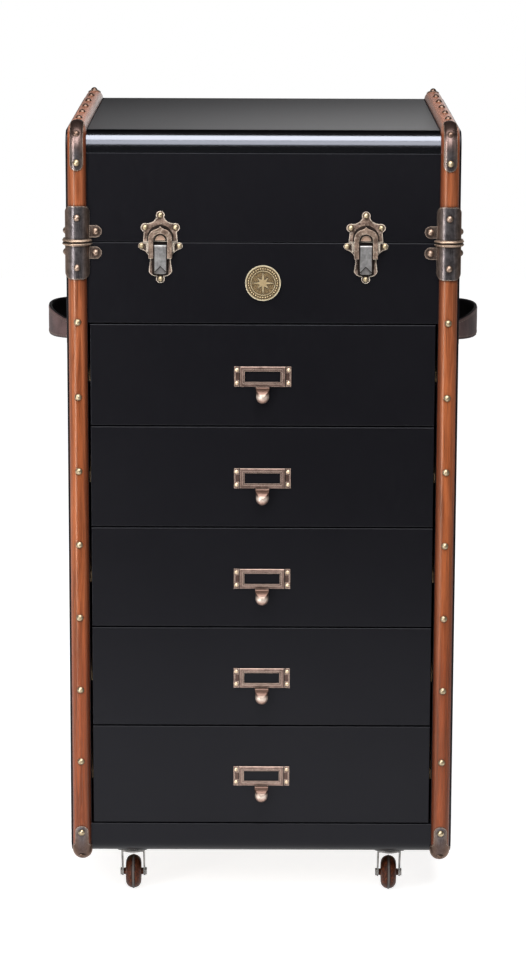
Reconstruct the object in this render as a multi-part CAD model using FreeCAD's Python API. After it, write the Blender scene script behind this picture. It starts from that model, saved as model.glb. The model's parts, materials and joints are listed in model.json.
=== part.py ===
"""A tall jewellery chest in the style of a steamer trunk.

A black lacquered case stands on four swivel casters. Five drawers fill the front, and a lined
well under a hinged lid is the top. Half-round wooden rails run round both ends of the case, with
brass nails, bronze corner straps and bronze sleeves where the lid meets the case.

Millimetres. X is to the right, Y goes back, Z is up. The origin is under the middle of the
whole chest, at the floor.
"""
import FreeCAD, Part
import math
import os

V = FreeCAD.Vector

# ---------------------------------------------------------------- the case
BODY_WIDTH = 552.0          # over the side panels
BODY_DEPTH = 520.0          # from the front faces to the back face
PLINTH_HEIGHT = 46.5
DRAWER_COUNT = 5
DRAWER_PITCH = 146.7
WELL_FRONT_HEIGHT = 115.5   # the fixed panel between the top drawer and the lid
LID_HEIGHT = 155.5
EDGE_RADIUS = 22.0          # of the case's long edges, top and bottom, front and back
SIDE_THICK = 18.0
FRONT_THICK = 18.0
BACK_THICK = 12.0
TOP_THICK = 14.0
BOTTOM_THICK = 15.0
WELL_FLOOR_THICK = 12.0
LID_SEAM = 1.0              # gap between the lid and the case
NOSING_HEIGHT = 31.0        # of the rounded moulding along the lid's front edge
PANEL_GROOVE = 1.2          # the line round the top panel, its width and its depth
PANEL_ROUND = 1.2           # rounding of the panels' visible edges
NOSING_EASE = 0.4           # rounding where the moulding meets the lid's front

# ---------------------------------------------------------------- drawers
DRAWER_GAP = 2.0            # between one drawer front and the next
DRAWER_SIDE_GAP = 3.0       # between a drawer front and the posts beside it
DRAWER_RAIL_GAP = 3.5       # between a drawer front and the rail beside it
DRAWER_BACK_GAP = 30.0      # between the box and the back panel
DRAWER_TRAVEL = 320.0
BOX_INSET = 3.5             # the box is narrower than its front by this much on each side
BOX_WALL = 12.0
BOX_HEIGHT = 115.0
BOX_LIFT = 9.0              # from the front's lower edge to the box's lower edge
BOX_BOTTOM_THICK = 6.0
POST_DEPTH = 20.0
RUNNER_HEIGHT = 14.0
RUNNER_BITE = 5.5           # how far a runner reaches into the drawer side
GROOVE_DEPTH = 6.0
SLIDE_FIT = 0.3             # between a runner and the groove, above and below
RUNNER_SETBACK = 6.0        # from the drawer front's back face to the runner's end

# ---------------------------------------------------------------- rails and their metalwork
RAIL_WIDTH = 26.5
RAIL_PROUD = 12.0           # height of the half-round above the case
RAIL_INSET = 2.5            # from the case's side to the rail's outer edge
REAR_RAIL_GAP = 14.0        # the rails stop this far from the seam at the back
STRAP_THICK = 1.2
STRAP_WIDTH = 17.4
STRAP_FRONT_LENGTH = 32.5   # below the corner's curve
STRAP_TOP_LENGTH = 9.0      # behind the corner's curve
CAP_LENGTH = 22.5           # of a bottom cap's tongue, beyond the corner's curve
CAP_STRAIGHT = 18.0         # of the tongue's even part, between its tip and the flare
CAP_FLARE = 7.0             # length over which the tongue widens to the rail
SLEEVE_THICK = 1.6
SLEEVE_SPREAD = 2.3         # extra thickness of the sleeve at its feet
SLEEVE_LENGTH = 50.7
SLEEVE_CORNER = 9.0         # rounding of the sleeve's end
SLEEVE_RETURN = 18.0        # how far the sleeve wraps onto the side panel
LIP_PROUD = 3.8
LIP_HEIGHT = 3.6
LIP_SLOPE = 1.5             # width of the slopes along the lip's edges
TAB_LENGTH = 17.0
TAB_HEIGHT = 17.0
TAB_OFFSET = 15.0           # from the seam to a tab's rivet

# ---------------------------------------------------------------- brass nails and rivets
NAIL_RADIUS = 4.8
NAIL_HEIGHT = 3.4
NAIL_COUNT = 7              # down each rail, between the sleeve and the bottom cap
NAIL_FIRST = 112.2          # from the seam to the first nail
STRAP_RIVET = 11.0          # from a strap's end to its rivet
CAP_RIVET = 9.5
TOP_CORNER_TURN = 33.0      # of the nail round the top corner, in degrees up from level
BOTTOM_CORNER_TURN = 45.0
SLEEVE_RIVET = 35.0         # from the seam
TOP_NAIL_COUNT = 6
TOP_NAIL_FIRST = 68.0       # from the front face
TOP_NAIL_LAST = 25.0        # from the back face
SMALL_RIVET_RADIUS = 4.1
SMALL_RIVET_HEIGHT = 2.8

# ---------------------------------------------------------------- latches
LATCH_X = 144.0
PLATE_THICK = 1.6
LEVER_WIDTH = 18.0
LEVER_THICK = 3.0
LEVER_LENGTH = 39.0         # below its pivot
LEVER_PIVOT_DROP = 5.4      # from the seam to the pivot
LEVER_PIVOT_OUT = 4.8       # from the case's face to the pivot
LEVER_PIN_RADIUS = 1.2
LEVER_BARREL_RADIUS = 2.1
LATCH_FIT = 0.05            # radial clearance on the latch's pins
BAIL_WIDTH = 33.0
BAIL_WINDOW = 19.6
BAIL_THICK = 3.0
BAIL_DROP = 14.2            # from the lever's pivot to the bail's pivot
BAIL_RISE = 23.0            # from the seam to the bail's top
BAIL_WINDOW_RISE = 13.2     # from the seam to the top of its window
BAIL_PIN_RADIUS = 1.0
BAIL_EYE_RADIUS = 2.4
BAIL_EDGE = 0.9             # rounding of the loop's front edges
OGEE_HALF = 6.9             # half the width of the point on top of the loop
OGEE_HEIGHT = 4.2
OGEE_HOLLOW = 0.6
BAIL_SHOULDER = 3.5         # how far the loop's shoulders bow out
EAR_HALF_GAP = 17.4         # from the latch's middle to each ear
EAR_THICK = 1.6
EAR_RISE = 3.6              # of an ear above its pin
EAR_DROP = 7.2              # of an ear below its pin
KNOB_WIDTH = 18.0
KNOB_CHAMFER = 1.2
KNOB_LIFT = 1.5             # from the lid's edge to the catch
KNOB_ARCH = 1.1             # the catch's height as a share of half its width
LEVER_CORNER = 4.5          # rounding of the lever's lower corners
CHEVRON_RISE = 11.0         # from the lever's tip to the chevron's point
CHEVRON_FOOT = 4.0
CHEVRON_MARGIN = 2.0
CHEVRON_DEPTH = 1.35
PART_GAP = 0.4              # between pieces that pass each other

# ---------------------------------------------------------------- label-holder pulls
PULL_DROP = 75.0            # from the drawer's top seam to the frame's middle
FRAME_WIDTH = 63.6
FRAME_HEIGHT = 28.8
FRAME_THICK = 3.2
FRAME_CHAMFER = 0.8
FRAME_STEP = 0.9            # the inner band is lower than the outer one by this
FRAME_STEP_WIDTH = 2.5
WINDOW_WIDTH = 50.8
WINDOW_HEIGHT = 15.2
EAR_PLATE_WIDTH = 80.4
EAR_PLATE_THICK = 1.6
EAR_LINE = 1.3              # width of the sunk line between the frame and each ear
EAR_POCKET_MARGIN = 2.0     # from the ear's edge to its sunk middle
EAR_POCKET_HALF = 5.2
EAR_SUNK = 0.9
PULL_RIVET_X = 36.6
PULL_RIVET_Z = 9.4
PULL_RIVET_RADIUS = 2.8
PULL_RIVET_HEIGHT = 1.7
COLLAR_WIDTH = 19.0
COLLAR_HEIGHT = 4.2
COLLAR_OUT = 10.0           # from the drawer's face to the collar's front
COLLAR_CHAMFER = 0.9
CUP_RADIUS = 9.0
CUP_OUT = 7.5               # from the drawer's face to the cup's axis
CUP_DROP = 23.2             # from the frame to the cup's lowest point
CUP_ROUND = 11.0            # radius of the cup's front, seen from the side
CUP_WALL = 1.6

# ---------------------------------------------------------------- badge
BADGE_RADIUS = 25.0
BADGE_THICK = 2.0
BADGE_RIM = 1.9
BADGE_RING = 17.6           # radius of the thin ring round the star
BADGE_RING_WIDTH = 0.9
BEAD_COUNT = 36             # small beads between the ring and the rim
BEAD_RADIUS = 1.1
BADGE_DROP = 57.2           # from the seam to the badge's middle
STAR_POINTS = 8
STAR_RELIEF = 0.8
STAR_GAP = 1.4              # from the ring to the star's points

# ---------------------------------------------------------------- side handles
HANDLE_Y = 262.0            # from the front face to the handle's middle
HANDLE_BELOW_SEAM = 147.5
HANDLE_SPAN = 230.0         # between the two ends of the loop
HANDLE_REACH = 42.0         # from the side panel to the loop's outer face
STRAP_LEATHER = 5.0
HANDLE_MIDDLE_HEIGHT = 43.0
HANDLE_END_HEIGHT = 27.0
HANDLE_TAB = 27.0
SOFT_GAP = 0.3
BRACKET_LENGTH = 20.0
BRACKET_THICK = 1.8
BRACKET_FLANGE = 11.0

# ---------------------------------------------------------------- lid hinges
HINGE_X = 150.0
HINGE_LENGTH = 62.0
HINGE_LEAF_HEIGHT = 30.0
HINGE_LEAF_THICK = 2.0
KNUCKLE_RADIUS = 4.0
KNUCKLE_COUNT = 5
KNUCKLE_GAP = 0.3
HINGE_PIN_RADIUS = 2.0
HINGE_FIT = 0.05

# ---------------------------------------------------------------- well, tray and mirror
TRAY_HEIGHT = 46.0
TRAY_CLEARANCE = 2.0
TRAY_WALL = 7.0
TRAY_DIVIDER = 5.0
TRAY_FLOOR = 4.0
TRAY_COLUMNS = 3
TRAY_ROWS = 3
MIRROR_THICK = 4.0
MIRROR_MARGIN = 44.0        # from the lid's inner walls to the mirror

# ---------------------------------------------------------------- casters
CASTER_X = 188.0            # from the middle of the chest to a caster's swivel axis
CASTER_FRONT = 44.0         # from the front face to the front swivel axes
CASTER_BACK = 80.0          # from the back face to the rear swivel axes
TRAIL = 18.0                # the wheel's axle is this far behind its swivel axis
WHEEL_RADIUS = 24.4
WHEEL_RIB = 0.8             # height of the rib round the tread
WHEEL_RIB_WIDTH = 2.6
WHEEL_WIDTH = 22.5
TREAD_ROUND = 10.5
HUB_RADIUS = 5.0
HUB_GAP = 0.4               # between the hub and each fork arm
FORK_SPAN = 34.0            # over the fork arms
FORK_ARM = 2.2
FORK_ARM_TOP = 25.0         # width of an arm at the crown
FORK_ARM_END = 6.5          # radius of an arm's lower end
CROWN_THICK = 2.6
CROWN_CLEARANCE = 14.2      # from the wheel's top to the crown
RACE_RADIUS = 13.5
RACE_HEIGHT = 3.0
CASTER_PLATE = 44.0
CASTER_PLATE_THICK = 2.5
KINGPIN_RADIUS = 4.0
KINGPIN_HEAD_RADIUS = 6.5
KINGPIN_HEAD = 2.0
AXLE_RADIUS = 3.0
AXLE_FIT = 0.05
AXLE_HEAD_RADIUS = 5.5
AXLE_HEAD = 2.4
SWIVEL_GAP = 0.3

# ---------------------------------------------------------------- places worked out from the sizes
FRONT_REACH = max(CUP_OUT + CUP_RADIUS, RAIL_PROUD + SLEEVE_THICK + max(LIP_PROUD, NAIL_HEIGHT))
BACK_REACH = RAIL_PROUD + STRAP_THICK + NAIL_HEIGHT
FACE_Y = FRONT_REACH - (FRONT_REACH + BODY_DEPTH + BACK_REACH) / 2
BACK_Y = FACE_Y + BODY_DEPTH
MIDDLE_Y = (FACE_Y + BACK_Y) / 2

AXLE_Z = WHEEL_RADIUS + WHEEL_RIB
CROWN_BOTTOM = AXLE_Z + WHEEL_RADIUS + WHEEL_RIB + CROWN_CLEARANCE
RACE_BOTTOM = CROWN_BOTTOM + CROWN_THICK + SWIVEL_GAP
BODY_BOTTOM = RACE_BOTTOM + RACE_HEIGHT + CASTER_PLATE_THICK
DRAWERS_BOTTOM = BODY_BOTTOM + PLINTH_HEIGHT
DRAWERS_TOP = DRAWERS_BOTTOM + DRAWER_COUNT * DRAWER_PITCH
SEAM_Z = DRAWERS_TOP + WELL_FRONT_HEIGHT
BODY_TOP = SEAM_Z + LID_HEIGHT
CASE_TOP = SEAM_Z - LID_SEAM / 2
LID_BOTTOM = SEAM_Z + LID_SEAM / 2

SIDE_X = BODY_WIDTH / 2
INNER_X = SIDE_X - SIDE_THICK
RAIL_X = SIDE_X - RAIL_INSET - RAIL_WIDTH / 2
RAIL_ARC = ((RAIL_WIDTH / 2) ** 2 + RAIL_PROUD ** 2) / (2 * RAIL_PROUD)
CORNER_FRONT = FACE_Y + EDGE_RADIUS
CORNER_BACK = BACK_Y - EDGE_RADIUS
CORNER_TOP = BODY_TOP - EDGE_RADIUS
CORNER_BOTTOM = BODY_BOTTOM + EDGE_RADIUS

HINGE_AXIS_Y = BACK_Y + KNUCKLE_RADIUS + KNUCKLE_GAP
WELL_FLOOR_TOP = DRAWERS_TOP + DRAWER_GAP / 2 + WELL_FLOOR_THICK
INSIDE_FRONT = FACE_Y + FRONT_THICK
INSIDE_BACK = BACK_Y - BACK_THICK
DRAWER_WIDTH = BODY_WIDTH - 2 * (RAIL_INSET + RAIL_WIDTH + DRAWER_RAIL_GAP)
DRAWER_LENGTH = INSIDE_BACK - INSIDE_FRONT - DRAWER_BACK_GAP
LEVER_PIVOT_Y = FACE_Y - LEVER_PIVOT_OUT
LEVER_PIVOT_Z = SEAM_Z - LEVER_PIVOT_DROP
BAIL_PIVOT_Z = LEVER_PIVOT_Z - BAIL_DROP


# ---------------------------------------------------------------- helpers
def block(x0, x1, y0, y1, z0, z1):
    """An upright box between two corners."""
    return Part.makeBox(x1 - x0, y1 - y0, z1 - z0, V(x0, y0, z0))


def rod(radius, start, end):
    """A round bar from one point to another."""
    return Part.makeCylinder(radius, (end - start).Length, start, end - start)


def outline(place, start, steps):
    """A closed face. A step is an end point, or a point on the way and an end point for an arc.
    place turns a pair of numbers into a point in space."""
    edges = []
    at = start
    for step in steps + [start]:
        if isinstance(step[0], tuple):
            via, end = step
            edges.append(Part.Arc(place(*at), place(*via), place(*end)).toShape())
        else:
            end = step
            if math.dist(at, end) > 1e-6:
                edges.append(Part.makeLine(place(*at), place(*end)))
        at = end
    return Part.Face(Part.Wire(edges))


def bowed(start, end, bow):
    """The point half way between two others, moved off their line. A positive bow is to the left."""
    run = math.dist(start, end)
    across_x, across_y = start[1] - end[1], end[0] - start[0]
    return ((start[0] + end[0]) / 2 + bow * across_x / run, (start[1] + end[1]) / 2 + bow * across_y / run)


def around(centre, radius, degrees):
    """A point at a distance and a direction from a centre."""
    turn = math.radians(degrees)
    return (centre[0] + radius * math.cos(turn), centre[1] + radius * math.sin(turn))


def mirrored_steps(start, steps):
    """The steps of a right half outline, then the same ones back up its left half."""
    points = [start]
    vias = []
    for step in steps:
        via, end = step if isinstance(step[0], tuple) else (None, step)
        vias.append(via)
        points.append(end)
    back = []
    for index in range(len(vias) - 1, -1, -1):
        end = (-points[index][0], points[index][1])
        via = vias[index]
        back.append(end if via is None else ((-via[0], via[1]), end))
    last = points[-1]
    join = [] if abs(last[0]) < 1e-9 else [(-last[0], last[1])]
    return steps + join + back


def mirror_x(shape):
    """The same piece on the other side of the chest."""
    return shape.mirror(V(0, 0, 0), V(1, 0, 0))


def mirror_y(shape):
    """The same piece at the other end of the case's depth."""
    return shape.mirror(V(0, MIDDLE_Y, 0), V(0, 1, 0))


def pair(shapes):
    """Pieces on the right and their mirror images on the left."""
    return shapes + [mirror_x(shape) for shape in shapes]


def moved(shape, x=0.0, y=0.0, z=0.0):
    """A copy of a piece, moved."""
    return shape.translated(V(x, y, z))


def edges_where(shape, test):
    """The edges of a shape that pass a test of their bounding box."""
    return [edge for edge in shape.Edges if test(edge.BoundBox)]


def softened(shape, radius, test):
    """A shape with the edges that pass the test rounded."""
    return shape.makeFillet(radius, edges_where(shape, test))


def dome(point, normal, radius, height, skirt=0.0):
    """The round head of a nail or rivet, with its flat side at the point. A skirt goes deeper,
    to be cut to the surface that the head sits on."""
    ball = (radius ** 2 + height ** 2) / (2 * height)
    rise = math.degrees(math.asin((ball - height) / ball))
    direction = V(normal).normalize()
    centre = point - direction * (ball - height)
    head = Part.makeSphere(ball, centre, direction, rise, 90, 360)
    if skirt:
        head = head.fuse(rod(radius, point - direction * skirt, point)).removeSplitter()
    return head


def save(name, shapes):
    """Writes one sub-part. Several shapes make a group of separate solids."""
    solids = [solid for shape in shapes for solid in shape.Solids]
    shape = solids[0] if len(solids) == 1 else Part.makeCompound(solids)
    shape.exportStep(f"parts/{name}.step")


# ---------------------------------------------------------------- the case's outline from the side
def case_side(open_z, closed_z):
    """The case's outline in the YZ plane, with both corners at closed_z rounded."""
    up = 1 if closed_z > open_z else -1
    corner_z = closed_z - up * EDGE_RADIUS
    slant = EDGE_RADIUS * math.sqrt(0.5)
    front_via = (CORNER_FRONT - slant, corner_z + up * slant)
    back_via = (CORNER_BACK + slant, corner_z + up * slant)
    steps = [
        (FACE_Y, corner_z),
        (front_via, (CORNER_FRONT, closed_z)),
        (CORNER_BACK, closed_z),
        (back_via, (BACK_Y, corner_z)),
        (BACK_Y, open_z),
    ]
    return outline(lambda y, z: V(0, y, z), (FACE_Y, open_z), steps)


def across(face, x0, x1):
    """A YZ face extruded from x0 to x1."""
    return moved(face, x=x0).extrude(V(x1 - x0, 0, 0))


def side_panel(open_z, closed_z):
    """The right-hand end of the case or lid."""
    panel = across(case_side(open_z, closed_z), INNER_X, SIDE_X)
    return softened(panel, PANEL_ROUND, lambda b: b.XMin > SIDE_X - 0.01)


def nosed_board(y0, y1, z0, z1, open_z, closed_z, thick, back=False):
    """A board across the case that holds one of its rounded long edges."""
    shell = across(case_side(open_z, closed_z), -INNER_X, INNER_X)
    board = block(-INNER_X, INNER_X, y0, y1, z0, z1)
    nose_y0 = BACK_Y - max(EDGE_RADIUS, thick) if back else FACE_Y
    nose_y1 = BACK_Y if back else FACE_Y + max(EDGE_RADIUS, thick)
    nose_z0, nose_z1 = sorted([closed_z, closed_z + math.copysign(EDGE_RADIUS, open_z - closed_z)])
    nose = block(-INNER_X, INNER_X, nose_y0, nose_y1, nose_z0, nose_z1)
    return board.fuse(nose).common(shell).removeSplitter()


def front_edge(z):
    """A test for the long edge of a front face at height z."""
    return lambda b: abs(b.YMin - FACE_Y) < 0.01 and b.YLength < 0.01 and abs(b.ZMin - z) < 0.01 and b.ZLength < 0.01


# ---------------------------------------------------------------- case
def make_case():
    side = side_panel(CASE_TOP, BODY_BOTTOM)
    save("cabinet_sides", pair([side]))

    plinth_top = DRAWERS_BOTTOM - DRAWER_GAP / 2
    plinth = nosed_board(FACE_Y, INSIDE_FRONT, BODY_BOTTOM, plinth_top, CASE_TOP, BODY_BOTTOM, FRONT_THICK)
    save("plinth", [softened(plinth, PANEL_ROUND, front_edge(plinth_top))])

    back = nosed_board(INSIDE_BACK, BACK_Y, BODY_BOTTOM, CASE_TOP, CASE_TOP, BODY_BOTTOM, BACK_THICK, back=True)
    save("back_panel", [back])

    nose_front = FACE_Y + max(EDGE_RADIUS, FRONT_THICK)
    nose_back = BACK_Y - max(EDGE_RADIUS, BACK_THICK)
    bottom = block(-INNER_X, INNER_X, nose_front, nose_back, BODY_BOTTOM, BODY_BOTTOM + BOTTOM_THICK)
    save("bottom_board", [bottom])

    well_front_bottom = DRAWERS_TOP + DRAWER_GAP / 2
    well_front = block(-INNER_X, INNER_X, FACE_Y, INSIDE_FRONT, well_front_bottom, CASE_TOP)
    well_front = softened(well_front, PANEL_ROUND, front_edge(CASE_TOP))
    save("well_front", [softened(well_front, PANEL_ROUND, front_edge(well_front_bottom))])

    floor = block(-INNER_X, INNER_X, INSIDE_FRONT, INSIDE_BACK, well_front_bottom, WELL_FLOOR_TOP)
    save("well_floor", [floor])

    post_x = DRAWER_WIDTH / 2 + DRAWER_SIDE_GAP
    post = block(post_x, INNER_X, FACE_Y, FACE_Y + POST_DEPTH, plinth_top, well_front_bottom)
    save("front_posts", pair([post]))


def make_runners():
    """A hardwood strip for each side of each drawer."""
    tip_x = DRAWER_WIDTH / 2 - BOX_INSET - RUNNER_BITE
    strips = []
    for index in range(DRAWER_COUNT):
        middle = runner_z(index)
        strips.append(block(tip_x, INNER_X, INSIDE_FRONT + RUNNER_SETBACK, INSIDE_BACK,
                            middle - RUNNER_HEIGHT / 2, middle + RUNNER_HEIGHT / 2))
    save("drawer_runners", pair(strips))


def drawer_bottom(index):
    """The lower edge of a drawer front. Drawer 0 is the top one."""
    return DRAWERS_TOP - (index + 1) * DRAWER_PITCH + DRAWER_GAP / 2


def runner_z(index):
    """The middle height of a drawer's runners."""
    return drawer_bottom(index) + BOX_LIFT + BOX_HEIGHT / 2


# ---------------------------------------------------------------- drawers
def make_drawer(index):
    low = drawer_bottom(index)
    half = DRAWER_WIDTH / 2
    name = f"drawer_{index + 1}"
    front = block(-half, half, FACE_Y, INSIDE_FRONT, low, low + DRAWER_PITCH - DRAWER_GAP)
    front = softened(front, PANEL_ROUND, lambda b: b.YMax < FACE_Y + 0.01)
    save(f"{name}_front", [front])

    box_x = half - BOX_INSET
    box_z = low + BOX_LIFT
    box_end = INSIDE_FRONT + DRAWER_LENGTH
    wall = block(box_x - BOX_WALL, box_x, INSIDE_FRONT, box_end, box_z, box_z + BOX_HEIGHT)
    reach = RUNNER_HEIGHT / 2 + SLIDE_FIT
    groove = block(box_x - GROOVE_DEPTH, box_x, INSIDE_FRONT, box_end,
                   runner_z(index) - reach, runner_z(index) + reach)
    wall = wall.cut(groove)
    inner_x = box_x - BOX_WALL
    back = block(-inner_x, inner_x, box_end - BOX_WALL, box_end, box_z, box_z + BOX_HEIGHT)
    bottom = block(-inner_x, inner_x, INSIDE_FRONT, box_end - BOX_WALL, box_z, box_z + BOX_BOTTOM_THICK)
    save(f"{name}_box", pair([wall]) + [back, bottom])
    save(f"{name}_pull", make_pull(low + DRAWER_PITCH - DRAWER_GAP / 2 - PULL_DROP))


def make_pull(middle_z):
    """A stepped label frame between two riveted ears, with a finger cup hanging from it."""
    half_width = FRAME_WIDTH / 2
    half_height = FRAME_HEIGHT / 2

    def slab(half_x, half_z, back, front):
        """A block in the middle of the pull. back and front are distances from the drawer's face."""
        return block(-half_x, half_x, FACE_Y - front, FACE_Y - back, middle_z - half_z, middle_z + half_z)

    window = slab(WINDOW_WIDTH / 2, WINDOW_HEIGHT / 2, 0, 2 * FRAME_THICK)
    sunk = slab(WINDOW_WIDTH / 2 + FRAME_STEP_WIDTH, WINDOW_HEIGHT / 2 + FRAME_STEP_WIDTH,
                FRAME_THICK - FRAME_STEP, 2 * FRAME_THICK)
    frame = slab(half_width, half_height, 0, FRAME_THICK)
    frame = frame.makeChamfer(FRAME_CHAMFER, edges_where(frame, lambda b: b.YMax < FACE_Y - FRAME_THICK + 0.01))
    frame = frame.cut([window, sunk])

    ears = slab(EAR_PLATE_WIDTH / 2, half_height, 0, EAR_PLATE_THICK)
    floor_y = FACE_Y - EAR_PLATE_THICK + EAR_SUNK
    over_y = FACE_Y - 2 * EAR_PLATE_THICK
    line_end = half_width + EAR_LINE
    lines = [block(half_width, line_end, over_y, floor_y, middle_z - half_height, middle_z + half_height),
             block(line_end, EAR_PLATE_WIDTH / 2 - EAR_POCKET_MARGIN, over_y, floor_y,
                   middle_z - EAR_POCKET_HALF, middle_z + EAR_POCKET_HALF)]
    ears = ears.cut([window] + pair(lines))
    body = ears.fuse([frame, finger_cup(middle_z - half_height)]).removeSplitter()
    rivets = []
    for x in (-PULL_RIVET_X, PULL_RIVET_X):
        for z in (middle_z - PULL_RIVET_Z, middle_z + PULL_RIVET_Z):
            rivets.append(dome(V(x, FACE_Y - EAR_PLATE_THICK, z), V(0, -1, 0), PULL_RIVET_RADIUS, PULL_RIVET_HEIGHT))
    return [body] + rivets


def finger_cup(top_z):
    """A scoop for a fingertip, round at its lower end, that leans out from under a short collar."""
    collar = block(-COLLAR_WIDTH / 2, COLLAR_WIDTH / 2, FACE_Y - COLLAR_OUT, FACE_Y, top_z - COLLAR_HEIGHT, top_z)
    collar = collar.makeChamfer(COLLAR_CHAMFER, edges_where(
        collar, lambda b: b.YMax < FACE_Y - COLLAR_OUT + 0.01 and b.ZMin > top_z - COLLAR_HEIGHT / 2))
    axis_y = FACE_Y - CUP_OUT
    lean_y = axis_y - CUP_RADIUS + CUP_ROUND
    round_z = top_z - CUP_DROP + CUP_RADIUS
    shoulder_z = top_z - COLLAR_HEIGHT

    def scoop(radius, front_radius):
        """An upright bar with a round end, shaved at the front to a rounder side view."""
        bar = rod(radius, V(0, axis_y, round_z), V(0, axis_y, top_z)).fuse(Part.makeSphere(radius, V(0, axis_y, round_z)))
        return bar.common(rod(front_radius, V(-2 * CUP_RADIUS, lean_y, round_z), V(2 * CUP_RADIUS, lean_y, round_z)))

    front_half = block(-2 * CUP_RADIUS, 2 * CUP_RADIUS, axis_y - 2 * CUP_RADIUS, axis_y, top_z - 2 * CUP_DROP, shoulder_z)
    cup = scoop(CUP_RADIUS, CUP_ROUND).cut(scoop(CUP_RADIUS - CUP_WALL, CUP_ROUND - CUP_WALL)).common(front_half)
    return collar.fuse(cup).removeSplitter()


# ---------------------------------------------------------------- rails
def rail_section(z, inner=0.0, outer=0.0, half_width=None):
    """The half-round in the XY plane at height z, or a band of it between two offsets."""
    middle_y = FACE_Y - RAIL_PROUD + RAIL_ARC
    if half_width is None:
        edge = RAIL_WIDTH / 2
        steps = [((RAIL_X, FACE_Y - RAIL_PROUD), (RAIL_X + edge, FACE_Y))]
        return outline(lambda x, y: V(x, y, z), (RAIL_X - edge, FACE_Y), steps)
    low = RAIL_ARC + inner
    high = RAIL_ARC + outer
    turn = math.asin(min(half_width / low, 0.999))

    def at(radius, angle):
        return (RAIL_X + radius * math.sin(angle), middle_y - radius * math.cos(angle))

    steps = [(at(high, 0), at(high, turn)), at(low, turn), (at(low, 0), at(low, -turn))]
    return outline(lambda x, y: V(x, y, z), at(high, -turn), steps)


def hoop_path(start_z, end_z, closed_z):
    """Up or down the front, round a corner, along the case's depth and back to end_z."""
    up = 1 if closed_z > start_z else -1
    corner_z = closed_z - up * EDGE_RADIUS
    slant = EDGE_RADIUS * math.sqrt(0.5)

    def at(y, z):
        return V(RAIL_X, y, z)

    return Part.Wire([
        Part.makeLine(at(FACE_Y, start_z), at(FACE_Y, corner_z)),
        Part.Arc(at(FACE_Y, corner_z), at(CORNER_FRONT - slant, corner_z + up * slant),
                 at(CORNER_FRONT, closed_z)).toShape(),
        Part.makeLine(at(CORNER_FRONT, closed_z), at(CORNER_BACK, closed_z)),
        Part.Arc(at(CORNER_BACK, closed_z), at(CORNER_BACK + slant, corner_z + up * slant),
                 at(BACK_Y, corner_z)).toShape(),
        Part.makeLine(at(BACK_Y, corner_z), at(BACK_Y, end_z)),
    ])


def corner_path(start_z, end_y, closed_z):
    """The part of a hoop's path that a corner strap follows."""
    up = 1 if closed_z > start_z else -1
    corner_z = closed_z - up * EDGE_RADIUS
    slant = EDGE_RADIUS * math.sqrt(0.5)

    def at(y, z):
        return V(RAIL_X, y, z)

    return Part.Wire([
        Part.makeLine(at(FACE_Y, start_z), at(FACE_Y, corner_z)),
        Part.Arc(at(FACE_Y, corner_z), at(CORNER_FRONT - slant, corner_z + up * slant),
                 at(CORNER_FRONT, closed_z)).toShape(),
        Part.makeLine(at(CORNER_FRONT, closed_z), at(end_y, closed_z)),
    ])


def swept(path, section):
    """A section carried along a path, as a solid."""
    return path.makePipeShell([section.OuterWire], True, False)


def tongue(place, tip, root, half_tip, half_root, straight, flare, reach):
    """An outline for a metal end: round at the tip, even, widening over the flare, then even again.
    It runs from tip to root along the second number, and on past the root by reach."""
    way = 1 if root > tip else -1
    shoulder = tip + way * half_tip
    bend = shoulder + way * straight
    wide = bend + way * flare
    steps = [((0, tip), (half_tip, shoulder)), (half_tip, bend), (half_root, wide), (half_root, root + way * reach),
             (-half_root, root + way * reach), (-half_root, wide), (-half_tip, bend), (-half_tip, shoulder)]
    return outline(place, (-half_tip, shoulder), steps)


def corner_metal(start_z, end_y, closed_z, half_tip, half_root, straight, flare):
    """A bent metal strap on a front corner of the rail, with a tongue at each end."""
    band = swept(corner_path(start_z, end_y, closed_z),
                 rail_section(start_z, 0.0, STRAP_THICK, half_root))
    depth = EDGE_RADIUS + RAIL_PROUD + 2 * STRAP_THICK
    wide = half_root + 2 * STRAP_THICK
    narrow = half_tip + STRAP_THICK * half_tip / RAIL_ARC
    front = tongue(lambda x, z: V(RAIL_X + x, FACE_Y - depth, z), start_z, closed_z, narrow, wide,
                   straight, flare, 2 * depth)
    front = front.extrude(V(0, end_y - FACE_Y + 2 * depth, 0))
    low_z = min(start_z, closed_z) - depth
    over = tongue(lambda x, y: V(RAIL_X + x, y, low_z), end_y, FACE_Y, narrow, wide, straight, flare, 2 * depth)
    over = over.extrude(V(0, 0, abs(closed_z - start_z) + 2 * depth))
    return band.common(front).common(over)


def make_rails():
    """Returns the rails and the corner metal, which the nails are fitted to."""
    cabinet_rail = swept(hoop_path(CASE_TOP, SEAM_Z - REAR_RAIL_GAP, BODY_BOTTOM), rail_section(CASE_TOP))
    lid_rail = swept(hoop_path(LID_BOTTOM, SEAM_Z + REAR_RAIL_GAP, BODY_TOP), rail_section(LID_BOTTOM))
    save("cabinet_rail_right", [cabinet_rail])
    save("cabinet_rail_left", [mirror_x(cabinet_rail)])
    save("lid_rails", pair([lid_rail]))

    half_strap = STRAP_WIDTH / 2
    strap = corner_metal(CORNER_TOP - STRAP_FRONT_LENGTH, CORNER_FRONT + STRAP_TOP_LENGTH, BODY_TOP,
                         half_strap, half_strap, 0.0, 0.0)
    save("top_corner_straps", pair([strap, mirror_y(strap)]))

    cap = corner_metal(CORNER_BOTTOM + CAP_LENGTH, CORNER_FRONT + CAP_LENGTH, BODY_BOTTOM,
                       half_strap, RAIL_WIDTH / 2, CAP_STRAIGHT, CAP_FLARE)
    save("bottom_corner_caps", pair([cap, mirror_y(cap)]))
    return cabinet_rail, lid_rail, strap, cap


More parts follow.
